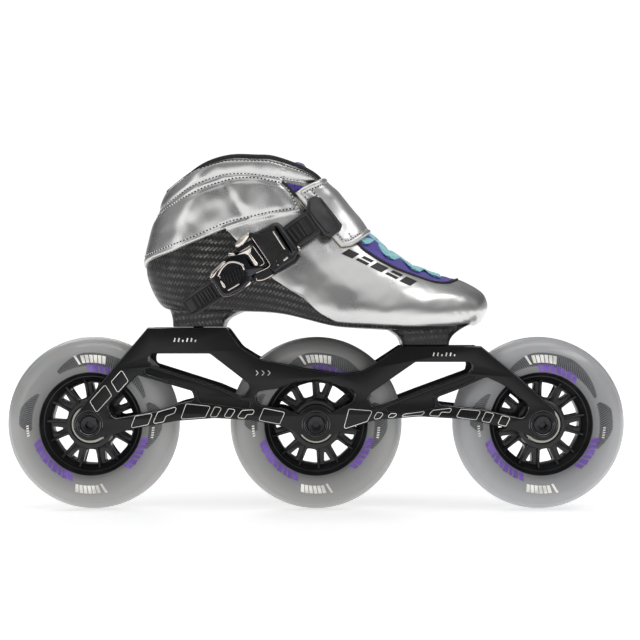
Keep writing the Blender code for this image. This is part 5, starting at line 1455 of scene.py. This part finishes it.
def build_buckle():
    body = soft([(690, 452), (762, 436), (905, 358), (950, 350), (988, 376), (1122, 566), (1146, 618), (1108, 690), (1000, 752), (918, 812), (868, 772), (868, 738), (704, 500)], 0.9)
    bits = [slab(body, [(0.0, 0.5), (0.4, 0.0), (6.4, 0.0), (7.3, 0.35), (7.8, 1.0)])]
    centre = soft([(715, 462), (762, 452), (806, 468), (898, 432), (1018, 602), (948, 640), (942, 700), (958, 742), (902, 762), (872, 716), (728, 508)], 0.5)
    bits.append(slab(centre, [(7.2, 0.0), (8.5, 0.0), (8.9, 0.3)]))
    shoulder = soft([(905, 374), (945, 362), (978, 382), (1104, 562), (1122, 615), (1088, 662), (1050, 650), (1046, 600), (930, 420), (890, 402)], 0.9)
    bits.append(slab(shoulder, [(6.8, 0.0), (8.6, 0.0), (9.3, 0.35), (9.7, 0.95), (9.8, 1.5)]))
    foot = soft([(880, 800), (1000, 742), (1112, 676), (1150, 628), (1158, 668), (1120, 720), (1010, 786), (915, 832)], 0.5)
    bits.append(slab(foot, [(0.0, 0.0), (4.2, 0.0), (4.9, 0.4)]))
    hook = soft([(712, 852), (742, 806), (862, 748), (888, 762), (922, 826), (800, 892), (746, 890)], 0.7)
    bits.append(slab(hook, [(1.0, 0.0), (5.6, 0.0), (6.4, 0.35), (6.7, 0.8)]))
    ear = soft([(688, 448), (722, 444), (740, 470), (728, 504), (696, 498)], 0.5)
    bits.append(slab(ear, [(0.6, 0.0), (7.6, 0.0), (8.1, 0.4)]))
    o = make("buckle_housing", *merged(bits), BLACK_PLASTIC, slot="black_plastic", angle=32)
    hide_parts("buckle_base")

    # thin chrome beads along the housing's rims: painted highlights on its edges
    shine = [
        line_of([(908, 432), (940, 480), (978, 540), (1018, 600)], 8.85, 0.95, 0.5),
        line_of([(714, 492), (732, 516), (800, 614), (866, 712), (880, 742), (858, 768), (800, 796), (752, 816)], 8.6, 0.55, 0.6, 60),
        line_of([(1002, 702), (1022, 688), (1044, 668)], 8.2, 1.0, 0.5, 16),
        line_of([(752, 858), (764, 880), (800, 880), (850, 862), (906, 828)], 6.75, 0.75, 0.5),
        line_of([(1128, 572), (1146, 586), (1150, 610)], 6.6, 1.5, 1.4, 16),
        line_of([(940, 700), (944, 730), (960, 748)], 8.7, 0.4, 0.4, 16),
    ]
    make("buckle_edge_highlights", *merged(shine), CHROME, slot="buckle_metal", angle=60)

    # the lever: dark body with a ring, chrome spine and lobes, and thin chrome beads painting highlights along its
    # edges
    ring = soft([(326, 850), (344, 808), (466, 702), (500, 672), (580, 650), (640, 640), (668, 658), (742, 752), (800, 742), (822, 772), (712, 842), (702, 892), (640, 958), (484, 1036), (434, 1014)], 0.9)
    window = soft([(410, 852), (436, 792), (500, 734), (560, 722), (618, 742), (634, 790), (626, 862), (596, 912), (506, 968), (470, 950)], 0.8)
    v, f = plate([ring, window], 0.0, 3.4, 0.55, res=3)
    v = v * [1, 1, 1] + [0, -32.2 - 9.2, 0]
    bits = [(v, f)]
    collar = soft([(640, 650), (700, 600), (724, 560), (826, 712), (820, 742), (760, 772), (700, 760)], 0.5)
    bits.append(slab(collar, [(5.6, 0.0), (8.8, 0.0), (9.2, 0.4)]))
    arm = soft([(560, 600), (690, 520), (716, 510), (860, 720), (850, 748), (780, 780), (720, 700), (650, 640)], 0.5)
    bits.append(slab(arm, [(4.4, 0.0), (7.0, 0.0), (7.4, 0.35)]))
    inner = soft([(430, 850), (450, 800), (505, 750), (600, 752), (614, 850), (585, 900), (505, 950), (480, 938)], 0.6)
    bits.append(slab(inset(window, -0.3), [(4.9, 0.0), (5.6, 0.0)]))
    o = make("lever_body", *merged(bits), GUNMETAL, slot="buckle_metal", angle=32)
    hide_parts("buckle_lever")
    grips = []
    for k in range(7):
        a, b = (446 + 27 * k, 808 - 9 * k), (482 + 27 * k, 940 - 17 * k)
        grips.append(line_of([a, ((a[0] + b[0]) / 2, (a[1] + b[1]) / 2), b], 6.6, 0.85, 1.6, 10))
    make("lever_grips", *merged(grips), RUBBER, slot="black_plastic")

    chrome_and_edge_highlights = [
        slab(soft([(500, 632), (546, 634), (574, 642), (700, 562), (716, 548), (712, 600), (704, 640), (774, 732), (768, 752), (742, 750), (684, 658), (650, 642), (590, 652), (502, 668)], 0.35), [(8.4, 0.0), (9.9, 0.0), (10.3, 0.3), (10.45, 0.7)]),
        slab(soft([(558, 552), (600, 492), (676, 438), (698, 446), (694, 486), (642, 560), (592, 592), (560, 582)], 1.0), [(5.0, 0.0), (7.6, 0.0), (8.5, 0.45), (9.0, 1.1)]),
        slab(soft([(598, 958), (640, 902), (700, 884), (713, 896), (700, 924), (644, 958), (606, 978)], 0.7), [(5.0, 0.0), (7.2, 0.0), (7.9, 0.4), (8.2, 0.8)]),
        slab(soft([(328, 850), (342, 812), (440, 716), (480, 700), (474, 730), (402, 802), (372, 852), (340, 872)], 0.6), [(8.0, 0.0), (9.0, 0.0), (9.5, 0.35), (9.75, 0.9)]),
        slab(soft([(424, 886), (438, 890), (476, 940), (470, 956), (452, 944)], 0.3), [(8.0, 0.0), (9.5, 0.0), (9.7, 0.25)]),
        # the thin beads from here on: painted highlights along the window's rim and the lever's edges
        line_of([(406, 846), (440, 778), (492, 728), (548, 716), (606, 730), (634, 752), (644, 790)], 9.3, 0.95, 0.7, 60),
        line_of([(334, 862), (384, 936), (432, 1010), (480, 1032), (560, 1006), (640, 962)], 9.0, 0.55, 0.8, 60),
        line_of([(496, 976), (550, 946), (602, 914)], 9.3, 0.7, 0.5, 24),
        line_of([(722, 566), (770, 634), (824, 712), (818, 736), (788, 752)], 9.25, 0.45, 0.5, 40),
        line_of([(406, 842), (424, 850), (426, 866)], 9.3, 0.5, 0.5, 12),
    ]
    make("lever_chrome_and_edge_highlights", *merged(chrome_and_edge_highlights), CHROME, slot="buckle_metal", angle=50)


# -------------------------------------------------------------------- frame
RAIL_IN, RAIL_OUT, BOSS_IN, DECK_T = 13.3, 16.7, 12.3, 4.2
FRAME_TOP = [
    (-30.4, -14.5, 0.8), (14.2, -14.5, 3), (22.4, -25.6, 8), (33.5, -32.4, 12), (58.2, -37.5, 14), (80, -41, 12),
    (93, -39.2, 14), (114.6, -25, 1.5), (160, -25, 2), (181, -42.2, 4), (202, -61.4, 4),
]
FRAME_LOW = [
    (188.8, -76.8, 6), (172.9, -71.4, 20), (151.1, -66.9, 20), (125, -65.4, 20), (100, -67.4, 20), (86, -71.6, 12), (75.6, -75.8, 4),
]
FRAME_LOW_2 = [
    (55.8, -75.8, 4), (46, -70.7, 12), (28, -67.4, 20), (8, -66.3, 20), (-14, -67.9, 20), (-38, -72.3, 20), (-57.4, -77.4, 6),
]
WINDOWS = {
    "rear_big": [(-29.5, -29.4, 2.5), (5.0, -29.4, 3), (28.6, -47.6, 3), (24.0, -54.0, 3), (9.6, -47.8, 8), (-29.5, -35.4, 2.5)],
    "rear_low": [(-36.5, -41.6, 2.5), (-53.6, -59.2, 4.5), (-49.6, -66.3, 3.5), (-23.3, -61.7, 10), (-12.8, -57.8, 10), (-3.6, -55.6, 2), (-5.2, -50.8, 2)],
    "front_big": [(122.6, -34.2, 2.5), (155.4, -34.2, 2.5), (154.4, -39.6, 2), (125.1, -50.3, 8), (98.8, -60.4, 3), (94.4, -53.8, 3)],
    "front_low": [(134.6, -54.6, 2.5), (146.3, -50.2, 8), (163.0, -42.8, 4), (173.0, -47.2, 6), (187.8, -59.2, 4.5), (184.0, -66.4, 3.5), (160.7, -61.1, 10), (136.5, -58.2, 2)],
}
MID_WINDOW = (
    [(31.0, -51.2, 3), (44, -49.4, 10), (54.6, -45.6, 12), (65.7, -44.2, 14), (76.6, -46.8, 12), (88.4, -51.0, 3.5), (86.6, -56.6, 2)]
    + arc(65.7, -70.0, 11.4, 38, 148, 16)
    + [(47, -60.5, 4), (32.4, -58.8, 3)]
)
POCKETS = [
    [(-32.0, -38.6, 0.8), (-29.0, -37.6, 0.8), (9.0, -49.7, 6), (23.6, -56.0, 2), (28.4, -56.8, 1.2), (27.4, -61.0, 1.2), (-0.8, -57.2, 2), (-2.4, -50.2, 1.5), (-31.6, -40.9, 0.8)],
    [(101.5, -62.0, 1.2), (125.6, -52.5, 8), (154.2, -42.0, 1.0), (158.4, -42.9, 1.0), (146.0, -48.5, 8), (132.6, -53.1, 1.2), (133.8, -60.2, 1.2), (118.0, -62.8, 4)],
]


def rail_outline():
    front = arc(AXLE_X[2], AXLE_Z, 9.2, 36, -104, 22)
    mid = arc(AXLE_X[1], AXLE_Z, 9.6, -36, -144, 16)
    rear = arc(AXLE_X[0], AXLE_Z, 9.2, -70, -216, 22)
    return rounded(FRAME_TOP + front + FRAME_LOW + mid + FRAME_LOW_2 + rear + [(-66.4, -57.4, 4), (-50.6, -38.2, 4)])


def build_frame():
    outline = rail_outline()
    wins = [rounded(w) for w in WINDOWS.values()] + [rounded(MID_WINDOW)]
    bits = []
    for s in (-1, 1):
        a, b = sorted((s * RAIL_IN, s * (RAIL_OUT - 1.1)))
        bits.append(plate([outline] + wins + [circle(x, AXLE_Z, 4.3, 40) for x in AXLE_X], a, b, 0.4))
    for x in AXLE_X:
        for s in (-1, 1):
            a, b = sorted((s * BOSS_IN, s * (RAIL_IN + 0.6)))
            bits.append(plate([circle(x, AXLE_Z, 7.4, 48), circle(x, AXLE_Z, 4.6, 40)], a, b, 0.2, 1))
    bits.append(block(-29.0, 14.0, -RAIL_IN - 0.6, RAIL_IN + 0.6, REAR_DECK_Z - DECK_T, REAR_DECK_Z - 0.02, 0.6))
    bits.append(block(116.5, 158.5, -RAIL_IN - 0.6, RAIL_IN + 0.6, FRONT_DECK_Z - DECK_T, FRONT_DECK_Z - 0.02, 0.6))
    core = make("frame_core", *merged(bits), FRAME_FLAT, slot="anodised_black", angle=28)
    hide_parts("skate_frame")
    bits = []
    for s in (-1, 1):
        a, b = sorted((s * (RAIL_OUT - 1.5), s * RAIL_OUT))
        rings = [inset(outline, 0.35)] + [inset(w, -0.35) for w in wins] + [rounded(p) for p in POCKETS] + [circle(x, AXLE_Z, 5.6 if s < 0 else 5.0, 48) for x in AXLE_X]
        bits.append(plate([list(map(tuple, r)) for r in rings], a, b, 0.45, 2))
        for x in AXLE_X:
            bits.append(plate([circle(x, AXLE_Z, 8.1, 56), circle(x, AXLE_Z, 6.6, 48)], *sorted((s * (RAIL_OUT - 0.4), s * (RAIL_OUT + 0.35))), 0.2, 1))
    o = make("frame_faces", *merged(bits), [FRAME_BLACK, FRAME_BEVEL_HIGHLIGHT], slot="anodised_black", angle=28)
    # outward bevels that don't face down take the lighter copy: a painted highlight along the upper edges, while
    # downward bevels stay black
    for f in o.data.polygons:
        if 0.25 < abs(f.normal.y) < 0.93 and f.normal.y < 0:
            f.material_index = 1 if f.normal.z > -0.1 else 0

    # plain engraved outlines along the lower beam, ticks on the platforms
    lines = []
    face = -RAIL_OUT - 0.03

    def trace(pts, wide=0.5, closed=True):
        p = np.asarray(rounded([(x, z, 0.9) for x, z in pts], 20) if closed else pts, float)
        c = np.stack([p[:, 0], np.full(len(p), face), p[:, 1]], 1)
        lines.append(sweep(c, (0, -1, 0), wide, 0.12, n=4, square=8.0, closed=closed))

    def lozenge(x, z, w, h, lean=0.35, tilt=0.0):
        q = [(-w / 2 - lean * h / 2, -h / 2), (w / 2 - lean * h / 2, -h / 2), (w / 2 + lean * h / 2, h / 2), (-w / 2 + lean * h / 2, h / 2)]
        c, s = math.cos(math.radians(tilt)), math.sin(math.radians(tilt))
        return [(x + a * c - b * s, z + a * s + b * c) for a, b in q]

    low_x, low_z = [-57.4, -38, -14, 8, 28, 46, 55.8], [-77.4, -72.3, -67.9, -66.3, -67.4, -70.7, -75.8]
    top_x, top_z = [-49.6, -23.3, -12.8, -3.6, 0, 27.4, 32.4, 47, 52], [-66.3, -61.7, -57.8, -56.4, -57.8, -61.4, -59.2, -61.0, -66.0]
    low_x2, low_z2 = [75.6, 86, 100, 125, 151.1, 172.9, 188.8], [-75.8, -71.6, -67.4, -65.4, -66.9, -71.4, -76.8]
    top_x2, top_z2 = [80, 86.6, 93.0, 101.5, 118, 134, 136.5, 160.7, 184], [-66.0, -57.4, -59.5, -62.3, -63.0, -60.6, -59.0, -61.3, -66.6]

    def glyph(x0, x1, lean, xs, zs, xt, zt, kind):
        """One plain outlined shape between the beam's two edges."""
        zb = lambda x: float(np.interp(x, xs, zs)) + 0.95
        zu = lambda x: float(np.interp(x, xt, zt)) - 0.85
        if kind == 0:
            trace([(x0, zb(x0)), (x1, zb(x1)), (x1 + lean, zu(x1 + lean)), (x0 + lean, zu(x0 + lean))], 0.36)
        elif kind == 1:
            m = (x0 + x1) / 2
            trace([(x0, zb(x0)), (m, zb(m)), (m + lean * 0.5, (zb(m) + zu(m)) / 2), (x1, (zb(x1) + zu(x1)) / 2), (x1 + lean * 0.5, zu(x1)), (x0 + lean, zu(x0 + lean))], 0.36)
        else:
            w = (x1 - x0) * 0.34
            trace([(x0, zb(x0)), (x0 + w, zb(x0 + w)), (x0 + w + lean, zu(x0 + w + lean)), (x0 + lean, zu(x0 + lean))], 0.36)
            trace([(x1 - w, zb(x1 - w)), (x1, zb(x1)), (x1 + lean, zu(x1 + lean)), (x1 - w + lean, zu(x1 - w + lean))], 0.36)

    for x0, x1, lean, kind in ((-40.0, -30.0, 2.6, 0), (-27.5, -15.0, 3.0, 1), (-11.5, 2.5, 3.2, 0), (5.0, 17.0, 3.0, 2), (20.5, 29.5, 3.0, 1), (33.0, 45.0, 3.0, 0)):
        glyph(x0, x1, lean, low_x, low_z, top_x, top_z, kind)
    for x0, x1, lean, kind in ((81.5, 95.0, 3.0, 0), (98.0, 110.0, 2.6, 2), (114.0, 126.0, 2.4, 0), (129.5, 142.0, 3.0, 1), (145.5, 157.0, 2.8, 0), (160.0, 174.0, 2.6, 2)):
        glyph(x0, x1, lean, low_x2, low_z2, top_x2, top_z2, kind)
    for x, z, w, h, tilt in ((-57.0, -55.0, 13.0, 7.0, 48), (-46.2, -45.2, 9.0, 7.0, 48)):
        trace(lozenge(x, z, w, h, 0.3, tilt), 0.36)
    for k in range(6):
        for x, z, tall in ((-15.2 + 2.4 * k, -22.7, 2.2), (132.6 + 2.4 * k, -30.8, 2.0)):
            tall = tall * (0.55 if k in (2, 5) else 1.0)
            trace([(x, z), (x + 0.25 * tall, z + tall)], 0.85, False)
    for k in range(3):
        x = 31.5 + 3.4 * k
        trace([(x, -41.8), (x + 1.3, -40.4), (x, -39.0)], 0.45, False)
    make("frame_outlines", *merged(lines), PRINT_WHITE, slot="anodised_black")


def loft(rings):
    n = len(rings[0])
    v = np.concatenate(rings)
    f = quads(len(rings), n, wrap=True).tolist()
    return v, f + [tuple(range(n))[::-1], tuple(range((len(rings) - 1) * n, len(rings) * n))]


def hexagon(r, n=48):
    a = 2 * np.pi * np.arange(n) / n
    k = r * math.cos(math.pi / 6) / np.cos((a % (math.pi / 3)) - math.pi / 6)
    return np.stack([k * np.cos(a), k * np.sin(a)], 1)


def disc(r, n=48):
    a = 2 * np.pi * np.arange(n) / n
    return np.stack([r * np.cos(a), r * np.sin(a)], 1)


def build_fixings():
    for tag, x in zip(("rear", "mid", "front"), AXLE_X):
        steps = [(hexagon(2.2), -13.6), (hexagon(2.4), -16.2), (disc(3.0), -16.45), (disc(4.6), -16.5), (disc(5.05), -16.15), (disc(5.1), -15.6), (disc(5.1), -15.2), (disc(3.9), -15.1), (disc(3.9), 15.9), (disc(3.5), 16.35)]
        rings = [np.stack([x + p[:, 0], np.full(len(p), y), AXLE_Z + p[:, 1]], 1) for p, y in steps]
        o = make(f"axle_screw_{tag}", *loft(rings), AXLE_STEEL, slot="steel", angle=30)
        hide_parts(f"axle_{tag}")
    for name, x, deck in (("rear", -3.0, REAR_DECK_Z), ("front", 128.0, FRONT_DECK_Z)):
        low = deck - DECK_T - 0.3
        steps = [(hexagon(2.3), low - 1.8), (hexagon(2.5), low - 3.9), (disc(3.4), low - 4.0), (disc(5.2), low - 4.0), (disc(5.6), low - 3.6), (disc(5.6), low), (disc(3.0), low), (disc(3.0), deck + 5.2)]
        rings = [np.stack([x + p[:, 0], p[:, 1], np.full(len(p), z)], 1) for p, z in steps]
        o = make(f"frame_screw_{name}", *loft(rings), BOLT_STEEL, slot="steel", angle=30)
        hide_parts(f"frame_bolt_{name}")
        washer = sweep(np.stack([x + 5.0 * np.cos(np.linspace(0, 2 * np.pi, 40, endpoint=False)), 5.0 * np.sin(np.linspace(0, 2 * np.pi, 40, endpoint=False)), np.full(40, low + 0.05)], 1), (0, 0, 1), 4.0, 0.5, n=6, square=6, closed=True)
        make(f"frame_washer_{name}", *washer, BOLT_STEEL, slot="steel", angle=30)


# ------------------------------------------------------------------- wheels
FACE = [(29.65, 11.2), (30.2, 11.7), (32.0, 11.95), (36.0, 12.0), (40.0, 11.75), (43.0, 10.7), (45.8, 8.7), (48.0, 6.1), (49.3, 3.5), (49.85, 1.6), (50.0, 0.0)]


def face_y(r):
    rs, ys = zip(*FACE)
    return np.interp(r, rs, ys)


def sector(x, r0, r1, a0, a1, lean=0.0, lift=0.05, side=-1, nr=3):
    """A patch of the tyre's face: radii, and angles in degrees."""
    na = max(3, int(abs(a1 - a0) / 1.2) + 2)
    rows = []
    for t in np.linspace(0, 1, nr):
        r = r0 + (r1 - r0) * t
        a = np.radians(np.linspace(a0, a1, na) + lean * t)
        rows.append(np.stack([x + r * np.cos(a), np.full(na, side * (face_y(r) + lift)), AXLE_Z + r * np.sin(a)], 1))
    return np.concatenate(rows), quads(nr, na)


def build_wheels():
    for tag, x, ph, tone in zip(("rear", "mid", "front"), AXLE_X, PHASE, ((0.40, 0.40, 0.395), (0.37, 0.37, 0.362), (0.42, 0.425, 0.435))):
        body = f"wheel_{tag}"
        fine = smooth(FACE, 60)
        half = [(31.95, 10.6)] + [tuple(p) for p in fine]
        prof = half + [(r, -y) for r, y in half[::-1][1:]]
        o = make(f"tyre_casting_{tag}", *lathe(prof, x, 192), tyre_urethane(f"urethane_{tag}", x, tone), body=body, slot="urethane", angle=50)
        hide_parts(f"tyre_{tag}")

        hub = []
        hub.append(lathe([(11.3, 11.6), (11.6, 11.85), (13.2, 11.85), (13.9, 11.3), (14.3, 6.0), (14.6, 3.9), (14.6, -3.9), (14.3, -6.0), (13.9, -11.3), (13.2, -11.85), (11.6, -11.85), (11.3, -11.6)], x, 96))
        rim = [(31.7, 10.9), (30.0, 10.95), (29.5, 10.75), (29.2, 10.2), (27.6, 8.3), (27.2, 8.2), (24.9, 5.4), (24.2, 4.6), (24.0, 3.6)]
        hub.append(lathe(rim + [(r, -y) for r, y in rim[::-1]], x, 160))
        rings = [[(p, q) for p, q in circle(x, AXLE_Z, 24.9, 120)], [(p, q) for p, q in circle(x, AXLE_Z, 13.8, 72)]]

        def hole(a, pts):
            ca, sa = math.cos(math.radians(a)), math.sin(math.radians(a))
            return rounded([(x + r * ca - w * sa, AXLE_Z + r * sa + w * ca, rad) for r, w, rad in pts], 18)

        for k in range(7):
            a = ph + k * 360.0 / 7
            rings.append(hole(a, [(15.3, -2.9, 2.2), (15.3, 2.9, 2.2), (23.2, 5.1, 1.2), (23.9, 0.0, 18.0), (23.2, -5.1, 1.2)]))
            rings.append(hole(a + 180.0 / 7, [(16.5, 0.0, 0.5), (23.4, 2.0, 0.7), (23.4, -2.0, 0.7)]))
        hub.append(plate(rings, -4.2, 4.2, 0.6, 2))
        # raised ribs down the spokes, to the rim
        for k in range(14):
            a = math.radians(ph + (k + 0.5) * 360.0 / 14)
            for s in (-1, 1):
                line = [(13.6, 5.6), (16.0, 4.9), (19.5, 4.5), (23.0, 5.0), (26.2, 6.9)]
                c = smooth([(x + r * math.cos(a), s * y, AXLE_Z + r * math.sin(a)) for r, y in line], 9)
                hub.append(sweep(c, (0, s, 0), [1.7] * 9, [1.6] * 9, n=8, square=3.0))
        ring = lathe([(9.9, 11.9), (10.6, 12.05), (11.2, 11.9), (11.2, 11.0), (9.9, 11.0)], x, 64)
        o = make(f"hub_core_{tag}", *merged(hub), plastic(f"hub_plastic_{tag}", (0.010, 0.010, 0.011), 0.30, 500.0, 0.02), body=body, slot="hub_plastic", angle=32)
        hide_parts(f"hub_{tag}")

        for side, s in (("lat", -1), ("med", 1)):
            p = [(4.3, 5.0), (10.95, 5.0), (10.95, 11.65), (10.75, 11.88), (9.5, 11.88), (9.25, 11.7), (9.2, 11.5), (6.6, 11.5), (6.5, 11.7), (6.3, 11.88), (4.5, 11.88), (4.3, 11.7)]
            v, f = lathe([(r, s * y) for r, y in p], x, 72)
            idx = np.repeat([0, 0, 0, 0, 0, 1, 1, 1, 0, 0, 0, 0], 72)
            o = make(f"bearing_race_{tag}_{side}", v, f, [BEARING_STEEL, SHIELD], body=body, slot="bearing_steel", index=idx, angle=30)
            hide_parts(f"bearing_{tag}_{side}")

        # plain printed marks, both faces: purple dashes, pale blocks, dark hatching
        for side, s in (("lat", -1), ("med", 1)):
            purple, pale, dark = [], [], []
            for a0, a1 in ((196, 252), (-52, -12), (50, 92)):
                a = a0
                k = 0
                while a < a1 - 3:
                    w = (4.6, 5.6, 3.8, 5.2)[k % 4]
                    purple.append(sector(x, 30.0, 34.3, a, a + w, 3.4, lift=0.17, side=s, nr=5))
                    if k % 2:
                        purple.append(sector(x, 34.0, 34.6, a + 2.6, a + 2.6 + w * 0.5, 0.4, lift=0.17, side=s, nr=2))
                    a += w + 1.3
                    k += 1
            for c in (88.0, 268.0):
                for k in range(6):
                    b = c - 12.0 + 3.7 * k
                    pale.append(sector(x, 35.3, 39.9, b, b + 3.0, 1.3, lift=0.17, side=s, nr=8))
                pale.append(sector(x, 34.8, 40.4, c + 11.0, c + 13.2, 3.2, lift=0.17, side=s, nr=8))
            for c in (186.0, -8.0):
                for k in range(5):
                    b = c - 5.0 + 2.2 * k
                    pale.append(sector(x, 35.4, 36.9, b, b + 1.3, 0.4, lift=0.19, side=s))
            for a0, a1, n in ((26, 122, 96), (-24, 20, 44), (150, 186, 36)):
                for k in range(n):
                    b = a0 + (a1 - a0) * k / n
                    t = math.sin(math.pi * k / n)
                    dark.append(sector(x, 33.4 + 0.4 * (k % 2), 35.6 + 6.4 * t, b, b + 0.62, 6.0 * t + 0.6, lift=0.12, side=s, nr=8))
            make(f"tyre_dashes_{tag}_{side}", *merged(purple), PRINT_PURPLE, body=body, slot="urethane")
            make(f"tyre_blocks_{tag}_{side}", *merged(pale), PRINT_WHITE, body=body, slot="urethane")
            make(f"tyre_hatch_{tag}_{side}", *merged(dark), PRINT_DARK, body=body, slot="urethane")


# -------------------------------------------------- camera, floor and lights
def build_stage():
    cam = bpy.data.cameras.new("camera")
    cam.lens, cam.sensor_width = 67.4, 36.0
    cam.clip_start, cam.clip_end = 0.02, 60.0
    c = bpy.data.objects.new("camera", cam)
    c.location = (0.068, -0.700, -0.0102)
    c.rotation_euler = (math.radians(90), 0, 0)
    SCENE.collection.objects.link(c)
    SCENE.camera = c

    fl = Mat("floor_paper", (0.86, 0.86, 0.86), 0.7, Emission_Color=(1, 1, 1, 1), Emission_Strength=0.50)
    fl.to(fl.mix(fl.noise(6.0, 2.0), (0.85, 0.85, 0.85), (0.88, 0.88, 0.88)), "Base Color")
    away = fl.node("ShaderNodeVectorMath", {0: fl.coord(scale=(1, 1, 0))}, operation="LENGTH").outputs["Value"]
    fl.to(fl.calc("MULTIPLY_ADD", fl.ramp(fl.calc("MULTIPLY", away, 0.5), [(0.16, 0.0), (0.70, 1.0)]), 0.34, 0.50), "Emission Strength")
    me = bpy.data.meshes.new("floor")
    me.from_pydata([(-6, -4, -0.1205), (6, -4, -0.1205), (6, 8, -0.1205), (-6, 8, -0.1205)], [], [(0, 1, 2, 3)])
    me.materials.append(fl.m)
    floor = bpy.data.objects.new("floor", me)
    SCENE.collection.objects.link(floor)

    w = bpy.data.worlds.new("studio")
    SCENE.world = w
    w.use_nodes = True
    t = w.node_tree
    bg = t.nodes["Background"]
    tc = t.nodes.new("ShaderNodeTexCoord")
    sep = t.nodes.new("ShaderNodeSeparateXYZ")
    ramp = t.nodes.new("ShaderNodeValToRGB")
    t.links.new(tc.outputs["Generated"], sep.inputs[0])
    t.links.new(sep.outputs["Z"], ramp.inputs[0])
    r = ramp.color_ramp
    stops = [(0.0, 0.30), (0.06, 0.40), (0.14, 0.22), (0.23, 0.085), (0.33, 0.19), (0.46, 0.28), (0.65, 0.36), (1.0, 0.55)]
    while len(r.elements) < len(stops):
        r.elements.new(0.5)
    for e, (pos, v) in zip(r.elements, stops):
        e.position = pos
        e.color = (v, v, v * 1.01, 1)
    path = t.nodes.new("ShaderNodeLightPath")
    mix = t.nodes.new("ShaderNodeMix")
    mix.data_type = "RGBA"
    t.links.new(path.outputs["Is Camera Ray"], mix.inputs[0])
    soft = t.nodes.new("ShaderNodeTexNoise")
    soft.inputs["Scale"].default_value = 2.6
    soft.inputs["Detail"].default_value = 0.0
    t.links.new(tc.outputs["Generated"], soft.inputs["Vector"])
    gain = t.nodes.new("ShaderNodeMapRange")
    gain.inputs["From Min"].default_value = 0.3
    gain.inputs["From Max"].default_value = 0.7
    gain.inputs["To Min"].default_value = 0.45
    gain.inputs["To Max"].default_value = 1.5
    t.links.new(soft.outputs[0], gain.inputs["Value"])
    lit = t.nodes.new("ShaderNodeVectorMath")
    lit.operation = "SCALE"
    t.links.new(ramp.outputs[0], lit.inputs[0])
    t.links.new(gain.outputs["Result"], lit.inputs["Scale"])
    t.links.new(lit.outputs[0], mix.inputs[6])
    mix.inputs[7].default_value = (1.05, 1.05, 1.05, 1)
    t.links.new(mix.outputs[2], bg.inputs["Color"])
    bg.inputs["Strength"].default_value = 1.0

    for name, loc, at, size, size_y, watts in (
        ("key", (0.02, -0.95, 1.05), (0.05, 0, 0.0), 1.7, 1.0, 1.8),
        ("toe_box", (0.90, -0.40, 0.88), (0.12, 0, 0.0), 0.75, 0.34, 2.3),
        ("heel_box", (-0.98, -0.74, 0.22), (0.0, 0, 0.04), 0.60, 0.50, 0.9),
        ("back_light", (-0.3, 0.95, 0.75), (0.05, 0, 0.0), 0.9, 0.6, 3.2),
        ("top_strip", (0.08, -0.12, 1.15), (0.07, 0, 0.0), 1.3, 0.4, 3.0),
    ):
        li = bpy.data.lights.new(name, "AREA")
        li.shape = "RECTANGLE"
        li.size, li.size_y = size, size_y
        li.energy = watts
        o = bpy.data.objects.new(name, li)
        o.location = loc
        o.rotation_euler = (Vector(at) - Vector(loc)).to_track_quat("-Z", "Y").to_euler()
        SCENE.collection.objects.link(o)
    SCENE.view_settings.view_transform = "Standard"


build_stage()
build_upper()
build_trim()
build_marks()
build_shell()
build_insole()
build_tongue()
build_laces()
build_strap()
# all the dark gap dots: painted shade of the needle holes
make("needle_holes_painted_shade", *merged(HOLE_SHADE_DOTS), NEEDLE_HOLE_SHADE, slot="silver_leather")
build_cap()
build_ladder()
build_buckle()
build_frame()
build_fixings()
build_wheels()

bpy.context.view_layer.update()
